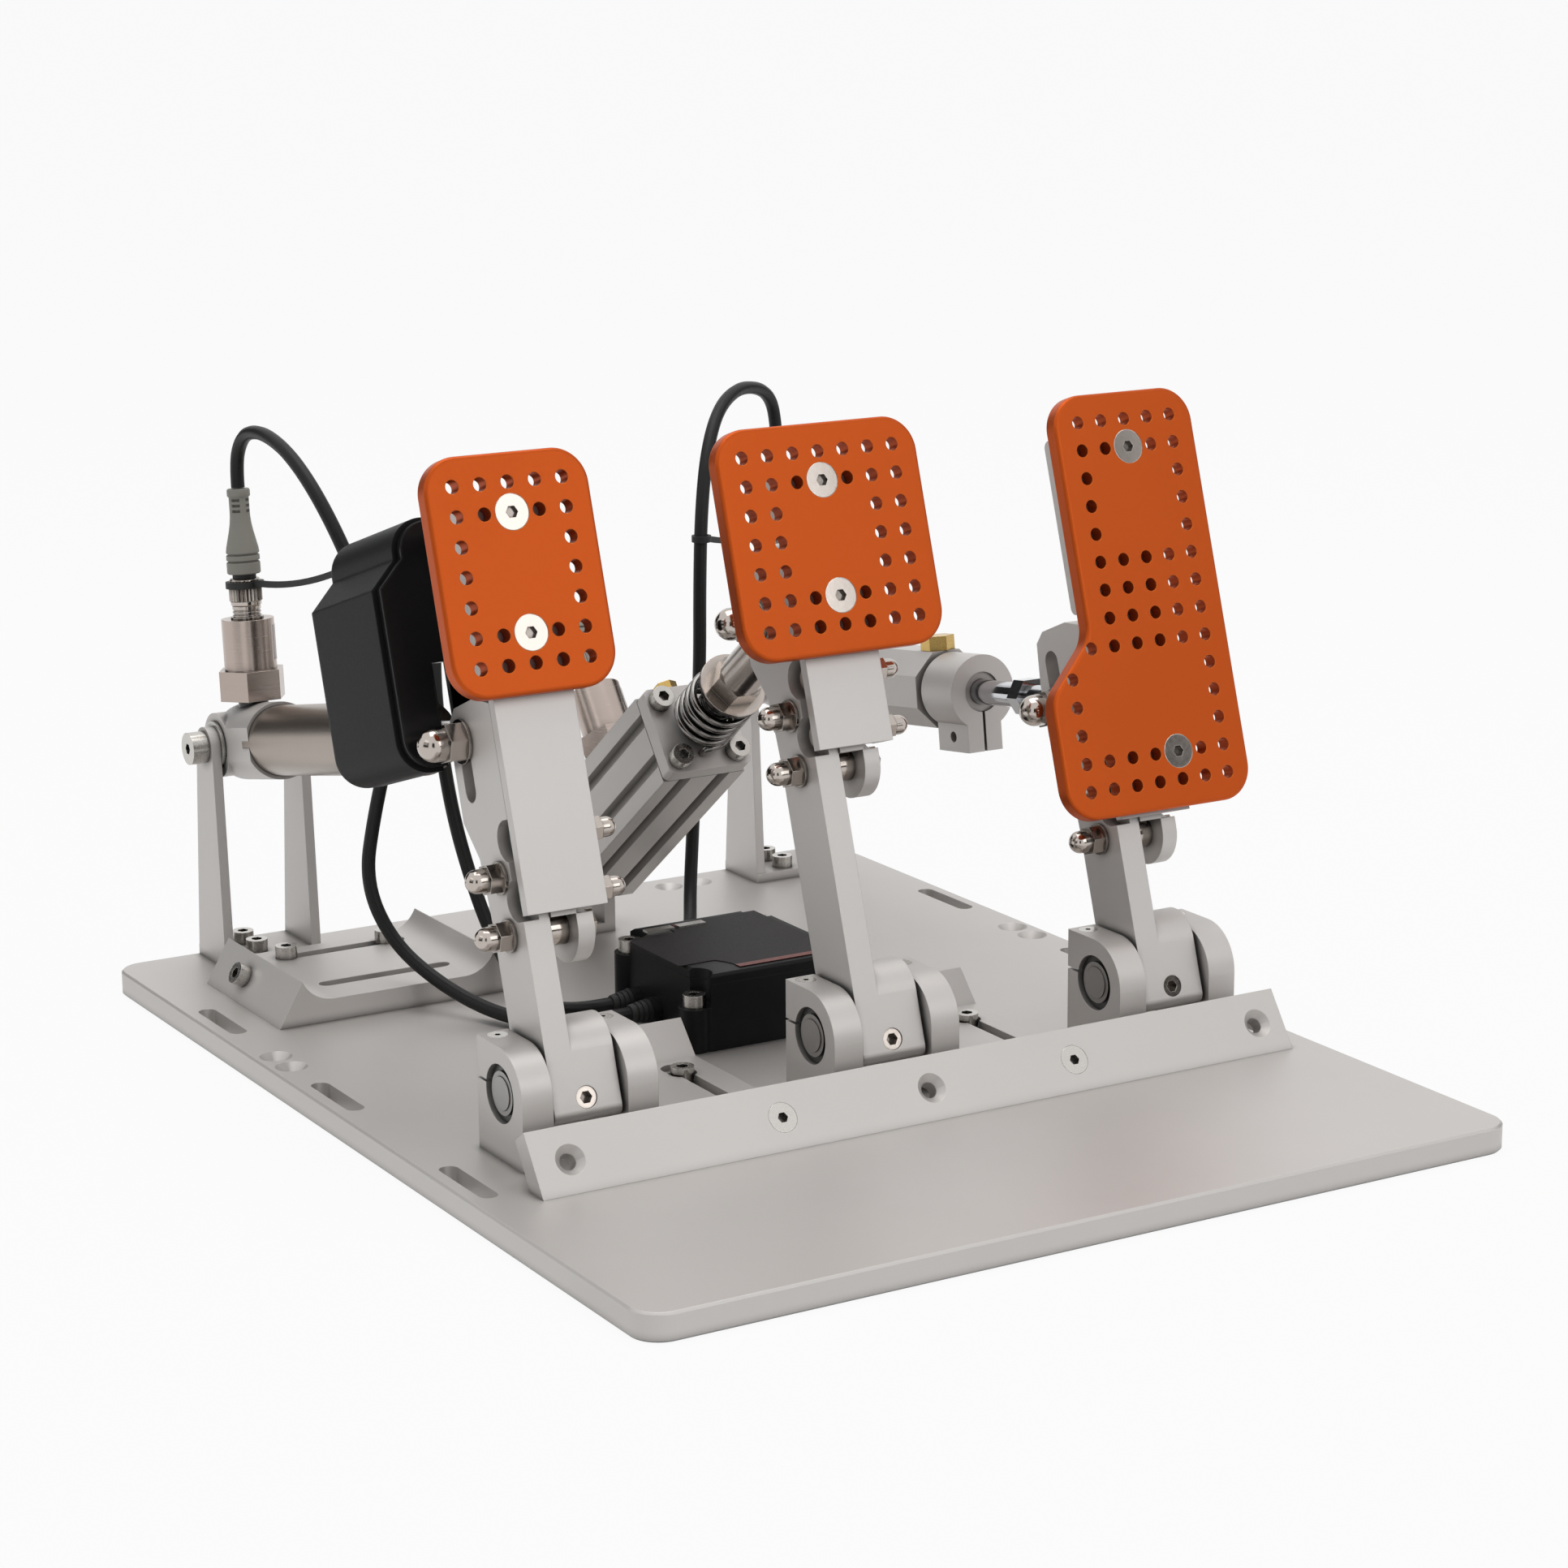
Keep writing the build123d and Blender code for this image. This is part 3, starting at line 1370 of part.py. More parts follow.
def make_control_box():
    """Write the control box, its lid and its connectors."""
    seam = box_top - box_lid_thickness
    case = span((box_left, box_right), (box_front, box_back), (plate_thickness, seam))
    case = fillet(case.edges().filter_by(Axis.Z), box_corner)
    lid = span((box_left, box_right), (box_front, box_back), (seam, box_top))
    lid = fillet(lid.edges().filter_by(Axis.Z), box_corner)
    lid = chamfer(lid.edges().group_by(Axis.Z)[-1], box_lid_chamfer)
    for x, y, top in box_lugs():
        notch = Pos(x, y, 0) * disc(box_notch_radius, top, box_top)
        case += Pos(x, y, 0) * disc(box_lug_radius, plate_thickness, top)
        case -= notch
        case -= Pos(x, y, 0) * disc(cap_shank_radius + seat_gap, top - cap_shank_length, top)
        lid -= notch
    connectors = []
    for x in (connector_first_x, connector_first_x + connector_pitch):
        connectors.append(span((x, x + connector_width), (connector_y, connector_y + connector_depth),
                               (box_top, box_top + connector_height)))
    for y in (clutch_socket_y, brake_socket_y):
        body = Pos(box_left - socket_length / 2, y, socket_z) * Rot(0, 90, 0) * Cylinder(
            socket_radius, socket_length)
        connectors.append(body)
    rear = Pos(throttle_socket_x, box_back + socket_length / 2, socket_z) * Rot(90, 0, 0)
    connectors.append(rear * Cylinder(socket_radius, socket_length))
    write("control_box", case)
    write("control_box_lid", lid)
    write("control_box_connectors", *connectors)


def cable_start(index):
    """The point past a boot's tip where its cable begins, clear of the tip as it tilts."""
    plane = sensor_plane(index)
    return plane.origin + plane.z_dir * (sensor_height() + cable_gaps[index])


def make_cable(name, points):
    """Write a cable: straight runs joined by tangent arcs."""
    radii = []
    for before, corner, after in zip(points, points[1:], points[2:]):
        first = corner - before
        second = after - corner
        half_turn = math.radians(first.get_angle(second)) / 2
        radii.append(arc_share * min(first.length, second.length) / math.tan(half_turn))
    path = FilletPolyline(*points, radius=radii)
    section = Plane(origin=path @ 0, z_dir=path % 0).location * Circle(cable_radius)
    tube = sweep(section, path=path)
    ideal = math.pi * cable_radius ** 2 * path.length
    print(name, "length", round(path.length, 1), "volume share", round(tube.volume / ideal, 4))
    print(name, "radii", [round(radius, 1) for radius in radii])
    write(name, tube)


def cable_points(index, route):
    """A route from a boot's tip, with each place measured from the plate's front edge."""
    return [cable_start(index)] + [Vector(x, front + y, z) for x, y, z in route]


# Cable routes, each point as across, from the plate's front edge, and up
clutch_route = [
    (-118.5, 435.5, 213), (-118.4, 431, 222), (-118.2, 422, 227.6), (-118, 404, 228.6),
    (-117, 381, 222), (-113, 361, 204), (-105, 350, 176), (-97, 346, 145), (-95, 349, 113),
    (-100, 355, 84), (-105, 355, 57), (-99, 344, 34), (-88, 321, 20), (-77, 295, 13.5),
    (-63, 270, 13.8), (-47.5, 261, 17), (-31, 261, 17)]
brake_route = [
    (6, 406.9, 166.2), (2.4, 409.7, 175), (-6.4, 409.7, 181.6), (-21.8, 406.2, 184),
    (-40.5, 397, 176.8), (-57.3, 383.5, 158.9), (-65.7, 370, 133.4), (-69, 358, 105),
    (-69, 348, 78), (-65, 341, 53), (-61, 334, 34), (-58, 320, 19), (-57, 303, 13.8),
    (-56, 292, 14), (-50.5, 282, 15.2), (-41, 276, 17), (-31, 276, 17)]
throttle_route = [
    (130.3, 435.5, 213), (126, 433, 221.5), (117, 428, 226.5), (102, 419, 228), (86, 407, 222),
    (73, 394, 207), (65, 385, 184), (61, 380, 155), (60, 379, 120), (58, 379.5, 85),
    (55, 378, 50), (50, 372, 27), (41, 356, 14.5), (28, 339, 13), (17, 323, 14.5),
    (11.5, 310, 17), (11.5, 298, 17)]

os.makedirs("parts", exist_ok=True)
write("base_plate", make_base_plate())
write("heel_rail", make_heel_rail())
write("rail_screws", *make_rail_screws())
block_pieces, bearing_pieces, clamp_pieces = make_bearing_pieces()
write("bearing_blocks", *block_pieces)
write("bearings", *bearing_pieces)
write("clamp_screws", *clamp_pieces)
for pedal_index in range(len(pedal_names)):
    make_pedal(pedal_index)
make_base_supports()
make_rear_housing()
make_clutch_line()
make_brake_line()
make_throttle_line()
make_control_box()
make_cable("clutch_cable", cable_points(0, clutch_route))
make_cable("brake_cable", cable_points(1, brake_route))
make_cable("throttle_cable", cable_points(2, throttle_route))
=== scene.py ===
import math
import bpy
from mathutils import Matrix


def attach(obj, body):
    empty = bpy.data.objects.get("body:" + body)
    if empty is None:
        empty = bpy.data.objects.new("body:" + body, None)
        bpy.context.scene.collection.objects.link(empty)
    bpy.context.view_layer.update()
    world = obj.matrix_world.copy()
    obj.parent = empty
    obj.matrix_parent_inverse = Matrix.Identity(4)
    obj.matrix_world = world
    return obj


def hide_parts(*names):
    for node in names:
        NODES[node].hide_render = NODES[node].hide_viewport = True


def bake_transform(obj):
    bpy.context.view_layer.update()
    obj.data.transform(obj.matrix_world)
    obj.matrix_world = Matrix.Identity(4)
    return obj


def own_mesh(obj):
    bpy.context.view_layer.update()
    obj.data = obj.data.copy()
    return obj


bl_info = {
    "name": "Racing Pedal Set Finishes",
    "version": (1, 0, 0),
    "blender": (4, 5, 0),
    "location": "View3D > Sidebar > Pedals",
    "description": "Finishes, cables, boots and studio for a set of three racing pedals",
    "category": "Object",
}

import bmesh
import bpy
from bpy.props import FloatProperty, FloatVectorProperty, IntProperty, PointerProperty
from mathutils import Matrix, Vector

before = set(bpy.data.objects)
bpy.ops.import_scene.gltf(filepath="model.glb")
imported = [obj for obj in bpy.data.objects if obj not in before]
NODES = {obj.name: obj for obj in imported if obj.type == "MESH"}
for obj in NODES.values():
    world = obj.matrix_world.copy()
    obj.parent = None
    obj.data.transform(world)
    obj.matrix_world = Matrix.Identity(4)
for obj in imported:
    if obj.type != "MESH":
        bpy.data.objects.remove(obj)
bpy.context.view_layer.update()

# Millimetres in a metre, for profiles and routes written in millimetres
PER_METRE = 1000

# Camera, measured against the photograph
PHOTO_SIZE = 1932
CAMERA_FOCAL_PIXELS = 4695.757
CAMERA_SENSOR = 36.0
CAMERA_PLACE = (-0.6965, -1.1938, 0.4479)
CAMERA_YAW = 0.5338
CAMERA_PITCH = 0.24
CAMERA_ROLL = -0.0076
CAMERA_NEAR = 0.05
CAMERA_FAR = 50

# Studio: share of the floor's own white, its half width, how far it lies below the plate, its
# grey under light, and the strength and tones of the light from around
FLOOR_GLOW = 0.93
FLOOR_HALF = 40.0
FLOOR_DROP = 0.0003
FLOOR_GREY = 0.8
WORLD_LIGHT = 0.40
WORLD_BELOW = (0.25, 0.25, 0.26)
WORLD_WHITE_FROM = 0.75

# Lamps: name, place, side and power, and the point that they face
LAMPS = (
    ("top_lamp", (0.1, 0.2, 1.6), 1.2, 8.5),
    ("front_lamp", (0.6, -1.65, 0.75), 0.8, 4.4),
    ("left_lamp", (-1.5, -0.2, 0.8), 0.8, 1.0),
)
LAMP_AIM = (0, 0, 0.08)

# Dark cards that only mirrors see: turn about the set in degrees and width in metres
CARDS = ((205, 1.3), (150, 0.7), (100, 1.6), (275, 1.2), (20, 1.4))
CARD_DISTANCE = 2.4
CARD_RAISED = 0.05
CARD_TALL = 1.3
CARD_COLOUR = (0.03, 0.03, 0.03)

# Finishes: least roughness, depth of the grain, where rounded edges begin and end to pale, partly
# as wear and partly as a painted highlight, and how pale they get, where corners begin and end to
# take painted shade and how dark it gets
LEAST_ROUGHNESS = 0.02
GRAIN_DEPTH = 0.0002
EDGE_WEAR_AND_HIGHLIGHT = (0.99, 0.85)
PALER = (1.2, 0.05)
CROWDING = (0.93, 0.45)
PAINTED_SHADE_DARKNESS = 0.12
THREAD_DEPTH = 1.2
TUBE_LEAN = 11.5

# Sensors: where each foot stands, its lean towards the rear in degrees, and its heights
PEDALS = ("clutch", "brake", "throttle")
SENSOR_FOOT = {
    "clutch": (-0.1185, 0.2025, 0.114),
    "brake": (0.006, 0.12268, 0.08822),
    "throttle": (0.1305, 0.2025, 0.114),
}
SENSOR_LEANS = {"clutch": 4.6, "brake": 37.312, "throttle": 4.6}
NECK_HEIGHT = 0.005
SENSOR_BODY_TOP = 0.0374
SENSOR_NUT_HEIGHT = 0.018
SENSOR_RADIUS = 0.0105

# Brake line: its direction, then places along it: the sensor, the threaded stretch and the
# spring's rear seat, and the share of its length that the spring keeps at the limit
BRAKE_LEAN = math.radians(SENSOR_LEANS["brake"])
BRAKE_LINE = (0.0, math.cos(BRAKE_LEAN), -math.sin(BRAKE_LEAN))
BRAKE_SENSOR_ALONG = 0.160
BRAKE_OFFSET = BRAKE_SENSOR_ALONG - Vector(BRAKE_LINE).dot(Vector(SENSOR_FOOT["brake"]))
BRAKE_THREAD = (0.0565, 0.125)

# Bands of colour that start below everything, and the top of the connectors' plastic
FAR_BELOW = -1.0
SOCKET_TOP = 0.03

# Cables: routes in millimetres across, back from the plate's front edge and up, the gap at a
# boot's tip and the smoothness of the drawn curve
FRONT_EDGE = -0.225
CABLE_ROUTES = {
    "clutch": [
        (-118.5, 435.5, 213), (-118.4, 431, 222), (-118.2, 422, 227.6), (-118, 404, 228.6),
        (-117, 381, 222), (-113, 361, 204), (-105, 350, 176), (-97, 346, 145), (-95, 349, 113),
        (-100, 355, 84), (-105, 355, 57), (-99, 344, 34), (-88, 321, 20), (-77, 295, 13.5),
        (-63, 270, 13.8), (-47.5, 261, 17), (-31, 261, 17)],
    "brake": [
        (6, 406.9, 166.2), (2.4, 409.7, 175), (-6.4, 409.7, 181.6), (-21.8, 406.2, 184),
        (-40.5, 397, 176.8), (-57.3, 383.5, 158.9), (-65.7, 370, 133.4), (-69, 358, 105),
        (-69, 348, 78), (-65, 341, 53), (-61, 334, 34), (-58, 320, 19), (-57, 303, 13.8),
        (-56, 292, 14), (-50.5, 282, 15.2), (-41, 276, 17), (-31, 276, 17)],
    "throttle": [
        (130.3, 435.5, 213), (126, 433, 221.5), (117, 428, 226.5), (102, 419, 228), (86, 407, 222),
        (73, 394, 207), (65, 385, 184), (61, 380, 155), (60, 379, 120), (58, 379.5, 85),
        (55, 378, 50), (50, 372, 27), (41, 356, 14.5), (28, 339, 13), (17, 323, 14.5),
        (11.5, 310, 17), (11.5, 298, 17)],
}
CABLE_GAP = 0.0004
CURVE_STEPS = 10
BEVEL_STEPS = 4

# Angle over which an edge between smooth faces stays sharp
SHARP = math.radians(32)

# Boot: heights above its foot and radii in millimetres, the slots round its neck and the
# steps of a quarter turn that they take
BOOT_PROFILE = [
    (0, 6.3), (0.4, 6.7), (4.4, 6.7), (4.7, 6.5), (4.8, 6.0), (5.3, 6.0), (5.4, 6.5),
    (5.7, 6.7), (7.3, 6.65), (7.5, 6.5), (7.6, 6.0), (8.1, 6.0), (8.2, 6.45), (8.6, 6.65),
    (10.5, 6.4), (13.5, 5.7), (17, 4.9), (20, 4.35), (23, 4.05), (24.2, 4.0)]
BOOT_LIP = [(30.6, 4.0), (30.8, 4.35), (31.2, 4.6), (33.2, 4.6), (33.7, 4.45), (34, 4.1)]
SLOT_HEIGHTS = (24.6, 26.8, 29.0)
SLOT_TALL = 1.0
SLOT_EDGE = 0.05
SLOT_DEPTH = 0.9
NECK_RADIUS = 4.0
SLOT_STEPS = (3, 9)
SEGMENTS = 48

# Plug: threaded foot, knurled nut and black seal, in millimetres above the sensor's body, and
# the nut's ridges
FOOT_PROFILE = [(0, 6.6), (0.9, 6.6), (1.0, 5.7), (1.6, 5.7), (1.7, 5.3), (2.3, 5.3),
                (2.4, 5.7), (3.0, 5.7), (3.1, 5.3), (3.7, 5.3), (3.8, 5.7), (5.2, 5.7)]
NUT_PROFILE = [(5.2, 5.6), (5.6, 6.1), (7.0, 6.2), (7.2, 6.0), (15.0, 6.0), (15.2, 6.2),
               (15.7, 6.1), (16.2, 5.6)]
SEAL_PROFILE = [(16.2, 4.7), (18.0, 4.7)]
RIDGE_LOW = 0.0072
RIDGE_TALL = 0.0078
RIDGE_WIDE = 0.00062
RIDGE_SUNK = 0.0004

# Labels: how far they are sunk in, the sensor label's heights, its angles in degrees and steps
LABEL_SUNK = 0.0001
LABEL_PROUD = 0.00012
LABEL_LOW = 0.0205
LABEL_HIGH = 0.0345
LABEL_ANGLES = (-45, 75)
LABEL_STEPS = 24

# Cable ties: height up the sensor, the point on the cable that they hold, and the strip's size
TIE_HEIGHT = 0.051
TIE_HOLDS = {"clutch": (-0.1065, 0.128, 0.183), "throttle": (0.0635, 0.1575, 0.173)}
TIE_WIDE = 0.0026
TIE_THICK = 0.0011
TIE_LOOSE = 0.0002
TIE_SAG = 0.003
TIE_STEPS = 12

# Control box lid: outlines of its label and bands in metres from its middle, and thicknesses
LID_LABEL = [
    (-0.0105, -0.0325), (0.0335, -0.0325), (0.0335, 0.0325), (-0.006, 0.0325), (-0.008, 0.029),
    (-0.008, 0.0225), (-0.011, 0.0195), (-0.0295, 0.0195), (-0.0295, -0.0195), (-0.0145, -0.0195),
    (-0.0125, -0.022), (-0.0105, -0.027)]
FRONT_BAND = [(-0.0105, -0.0325), (0.0335, -0.0325), (0.0335, -0.0290), (-0.0105, -0.0290)]
REAR_BAND = [(-0.0045, 0.0285), (0.0085, 0.0285), (0.0085, 0.0315), (-0.0045, 0.0315)]
LID_MIDDLE = (0.0, 0.033, 0.04)
PLAQUE_THICK = 0.00025
BAND_THICK = 0.00038

# Grommets: where each cable enters the box and which way its sleeve points, and the sleeve
GROMMETS = {
    "clutch": ((-0.031, 0.036, 0.017), (-1, 0, 0)),
    "brake": ((-0.031, 0.051, 0.017), (-1, 0, 0)),
    "throttle": ((0.0115, 0.073, 0.017), (0, 1, 0)),
}
GROMMET_PROFILE = [(0, 4.6), (1.4, 4.6), (1.5, 4.0), (2.1, 4.0), (2.2, 4.4), (3.4, 4.25),
                   (3.5, 3.7), (4.1, 3.7), (4.2, 4.1), (5.4, 3.9), (5.5, 3.4), (6.1, 3.4),
                   (6.2, 3.75), (7.6, 3.5), (8.0, 3.2)]


def colour_property(name, description, default):
    """A colour that the sidebar shows, as linear red, green and blue."""
    return FloatVectorProperty(name=name, description=description, subtype="COLOR", size=3,
                               min=0.0, max=1.0, default=default)


def length_property(name, description, default):
    """A length in metres that the sidebar shows."""
    return FloatProperty(name=name, description=description, default=default, min=0.0,
                         unit="LENGTH", precision=5)


class PedalColours(bpy.types.PropertyGroup):
    aluminium: colour_property("Aluminium", "Satin silver anodised plates and blocks",
                               (0.63, 0.605, 0.585))
    orange: colour_property("Foot plates", "Satin orange anodising", (0.56, 0.088, 0.008))
    # Foot plate edge colour: partly wear on the edges, partly a painted highlight
    edge: colour_property("Foot plate edges", "Bright orange of worn edges",
                          (0.95, 0.27, 0.035))
    nickel: colour_property("Nickel", "Polished nickel plating", (0.50, 0.45, 0.41))
    # The tube's colour is darker than the nickel's: painted shade for the dark surroundings that
    # the tube reflects
    tube: colour_property("Tube", "Brushed nickel of the clutch tube", (0.36, 0.31, 0.27))
    sensor: colour_property("Sensors", "Turned steel of the sensors", (0.46, 0.39, 0.35))
    steel: colour_property("Screws", "Bright steel of screws and pins", (0.56, 0.54, 0.51))
    shaft: colour_property("Shaft ends", "Turned steel of the pivot shafts", (0.36, 0.35, 0.34))
    chrome: colour_property("Throttle rod", "Chromed rod of the throttle", (0.62, 0.63, 0.65))
    thread: colour_property("Thread", "Dark thread of the brake rod", (0.05, 0.048, 0.045))
    spring: colour_property("Spring", "Dark wire of the brake spring", (0.25, 0.24, 0.23))
    band: colour_property("Bands", "Muted red bands on the control box", (0.22, 0.055, 0.045))
    dark_steel: colour_property("Bearings", "Dark bearing rings", (0.10, 0.10, 0.10))
    housing: colour_property("Housing", "Matte black moulded plastic", (0.012, 0.012, 0.013))
    boot: colour_property("Boots", "Grey moulded cable boots", (0.33, 0.32, 0.28))
    jacket: colour_property("Cables", "Black cable jacket", (0.012, 0.012, 0.012))
    brass: colour_property("Brass", "Machined brass hexagons", (0.62, 0.42, 0.14))
    label: colour_property("Labels", "Bare pale sensor labels", (0.72, 0.72, 0.70))
    plaque: colour_property("Lid label", "Bare dark label on the lid", (0.030, 0.027, 0.029))


class PedalSizes(bpy.types.PropertyGroup):
    cable_diameter: length_property("Cable", "Diameter of each sensor cable", 0.0055)
    boot_height: length_property("Boot height", "Height of a cable boot", 0.034)
    knurl_radius: length_property("Nut radius", "Outer radius of the knurled nut", 0.0064)
    knurl_count: IntProperty(name="Nut ridges", description="Ridges round a knurled nut",
                             default=26, min=8, max=60)
    thread_pitch: length_property("Thread pitch", "Pitch of the brake rod's thread", 0.0015)


def colours():
    """The scene's finish colours."""
    return bpy.context.scene.pedal_colours


def sizes():
    """The scene's piece sizes."""
    return bpy.context.scene.pedal_sizes


def node_of(tree, kind, **values):
    """Add a node and set its plain properties."""
    made = tree.nodes.new(kind)
    for key, value in values.items():
        setattr(made, key, value)
    return made


def finish(name, colour, metallic, roughness, grain=0.0, grain_scale=1500.0, mottle=0.04,
           mottle_scale=30.0, stretch=(1.0, 1.0, 1.0), turn=(0.0, 0.0, 0.0), edge=0.0,
           rounding=0.0, rough_spread=0.08, specular=0.5, edge_colour=None, painted_shade=0.0,
           painted_shade_reach=0.004):
    """A procedural finish: mottled colour, uneven roughness, grain, edges paled partly as wear and
    partly as a painted highlight, and painted shade in corners.
    """
    material = bpy.data.materials.new(name)
    material.use_nodes = True
    tree = material.node_tree
    tree.nodes.clear()
    link = tree.links.new
    output = node_of(tree, "ShaderNodeOutputMaterial")
    shader = node_of(tree, "ShaderNodeBsdfPrincipled")
    link(shader.outputs["BSDF"], output.inputs["Surface"])
    shader.inputs["Metallic"].default_value = metallic
    shader.inputs["Specular IOR Level"].default_value = specular
    place = node_of(tree, "ShaderNodeTexCoord")
    mapping = node_of(tree, "ShaderNodeMapping")
    mapping.inputs["Rotation"].default_value = turn
    mapping.inputs["Scale"].default_value = stretch
    link(place.outputs["Object"], mapping.inputs["Vector"])

    cloud = node_of(tree, "ShaderNodeTexNoise")
    cloud.inputs["Scale"].default_value = mottle_scale
    cloud.inputs["Detail"].default_value = 4.0
    link(place.outputs["Object"], cloud.inputs["Vector"])
    tone = node_of(tree, "ShaderNodeMix", data_type="RGBA")
    dark = tuple(channel * (1 - mottle) for channel in colour)
    light = tuple(min(1.0, channel * (1 + mottle)) for channel in colour)
    tone.inputs["A"].default_value = (*dark, 1)
    tone.inputs["B"].default_value = (*light, 1)
    link(cloud.outputs["Fac"], tone.inputs["Factor"])
    shown = tone.outputs["Result"]

    fine = node_of(tree, "ShaderNodeTexNoise")
    fine.inputs["Scale"].default_value = grain_scale
    fine.inputs["Detail"].default_value = 2.0
    link(mapping.outputs["Vector"], fine.inputs["Vector"])
    spread = node_of(tree, "ShaderNodeMapRange")
    spread.inputs["To Min"].default_value = max(LEAST_ROUGHNESS, roughness - rough_spread)
    spread.inputs["To Max"].default_value = min(1.0, roughness + rough_spread)
    link(fine.outputs["Fac"], spread.inputs["Value"])
    link(spread.outputs["Result"], shader.inputs["Roughness"])

    bump = node_of(tree, "ShaderNodeBump")
    bump.inputs["Strength"].default_value = grain
    bump.inputs["Distance"].default_value = GRAIN_DEPTH
    link(fine.outputs["Fac"], bump.inputs["Height"])
    if rounding:
        soft = node_of(tree, "ShaderNodeBevel", samples=4)
        soft.inputs["Radius"].default_value = rounding
        link(soft.outputs["Normal"], bump.inputs["Normal"])
    link(bump.outputs["Normal"], shader.inputs["Normal"])
    # Pale rounded edges: partly the colour of wear on machined chamfers, partly a painted
    # highlight where the edges catch the light
    if edge and rounding:
        flat = node_of(tree, "ShaderNodeNewGeometry")
        match = node_of(tree, "ShaderNodeVectorMath", operation="DOT_PRODUCT")
        link(soft.outputs["Normal"], match.inputs[0])
        link(flat.outputs["Normal"], match.inputs[1])
        wear_and_highlight = node_of(tree, "ShaderNodeMapRange")
        wear_and_highlight.inputs["From Min"].default_value = EDGE_WEAR_AND_HIGHLIGHT[0]
        wear_and_highlight.inputs["From Max"].default_value = EDGE_WEAR_AND_HIGHLIGHT[1]
        wear_and_highlight.inputs["To Max"].default_value = edge
        link(match.outputs["Value"], wear_and_highlight.inputs["Value"])
        rim = node_of(tree, "ShaderNodeMix", data_type="RGBA")
        pale = edge_colour or tuple(min(1.0, channel * PALER[0] + PALER[1]) for channel in colour)
        rim.inputs["B"].default_value = (*pale, 1)
        link(wear_and_highlight.outputs["Result"], rim.inputs["Factor"])
        link(shown, rim.inputs["A"])
        shown = rim.outputs["Result"]
    # Painted shade: ambient occlusion darkens the colour in corners, crevices and round screws,
    # where shade falls
    if painted_shade:
        near = node_of(tree, "ShaderNodeAmbientOcclusion", samples=6)
        near.inputs["Distance"].default_value = painted_shade_reach
        deep = node_of(tree, "ShaderNodeMapRange")
        deep.inputs["From Min"].default_value = CROWDING[0]
        deep.inputs["From Max"].default_value = CROWDING[1]
        deep.inputs["To Max"].default_value = painted_shade
        link(near.outputs["AO"], deep.inputs["Value"])
        painted_shade_tone = node_of(tree, "ShaderNodeMix", data_type="RGBA")
        painted_shade_tone.inputs["B"].default_value = (*[channel * PAINTED_SHADE_DARKNESS for channel in colour], 1)
        link(deep.outputs["Result"], painted_shade_tone.inputs["Factor"])
        link(shown, painted_shade_tone.inputs["A"])
        shown = painted_shade_tone.outputs["Result"]
    link(shown, shader.inputs["Base Color"])
    return material


def banded(material, along, offset, first, last, colour, metallic, pitch=0.0):
    """Give a finish another colour between two distances along a line, with a thread if asked."""
    tree = material.node_tree
    link = tree.links.new
    shader = next(node for node in tree.nodes if node.type == "BSDF_PRINCIPLED")
    place = node_of(tree, "ShaderNodeTexCoord")
    reach = node_of(tree, "ShaderNodeVectorMath", operation="DOT_PRODUCT")
    reach.inputs[1].default_value = along
    link(place.outputs["Object"], reach.inputs[0])
    here = node_of(tree, "ShaderNodeMath", operation="ADD")
    here.inputs[1].default_value = offset
    link(reach.outputs["Value"], here.inputs[0])
    after = node_of(tree, "ShaderNodeMath", operation="GREATER_THAN")
    after.inputs[1].default_value = first
    before = node_of(tree, "ShaderNodeMath", operation="LESS_THAN")
    before.inputs[1].default_value = last
    link(here.outputs[0], after.inputs[0])
    link(here.outputs[0], before.inputs[0])
    inside = node_of(tree, "ShaderNodeMath", operation="MULTIPLY")
    link(after.outputs[0], inside.inputs[0])
    link(before.outputs[0], inside.inputs[1])
    tone = node_of(tree, "ShaderNodeMix", data_type="RGBA")
    tone.inputs["B"].default_value = (*colour, 1)
    link(inside.outputs[0], tone.inputs["Factor"])
    link(shader.inputs["Base Color"].links[0].from_socket, tone.inputs["A"])
    link(tone.outputs["Result"], shader.inputs["Base Color"])
    if metallic != shader.inputs["Metallic"].default_value:
        metal = node_of(tree, "ShaderNodeMapRange")
        metal.inputs["To Min"].default_value = shader.inputs["Metallic"].default_value
        metal.inputs["To Max"].default_value = metallic
        link(inside.outputs[0], metal.inputs["Value"])
        link(metal.outputs["Result"], shader.inputs["Metallic"])
    if pitch:
        turns = node_of(tree, "ShaderNodeMath", operation="PINGPONG")
        turns.inputs[1].default_value = pitch / 2
        link(here.outputs[0], turns.inputs[0])
        crest = node_of(tree, "ShaderNodeMath", operation="MULTIPLY")
        link(turns.outputs[0], crest.inputs[0])
        link(inside.outputs[0], crest.inputs[1])
        cut = node_of(tree, "ShaderNodeBump")
        cut.inputs["Strength"].default_value = 1.0
        cut.inputs["Distance"].default_value = THREAD_DEPTH
        link(crest.outputs[0], cut.inputs["Height"])
        link(shader.inputs["Normal"].links[0].from_socket, cut.inputs["Normal"])
        link(cut.outputs["Normal"], shader.inputs["Normal"])
    return material


MADE_FINISHES = {}


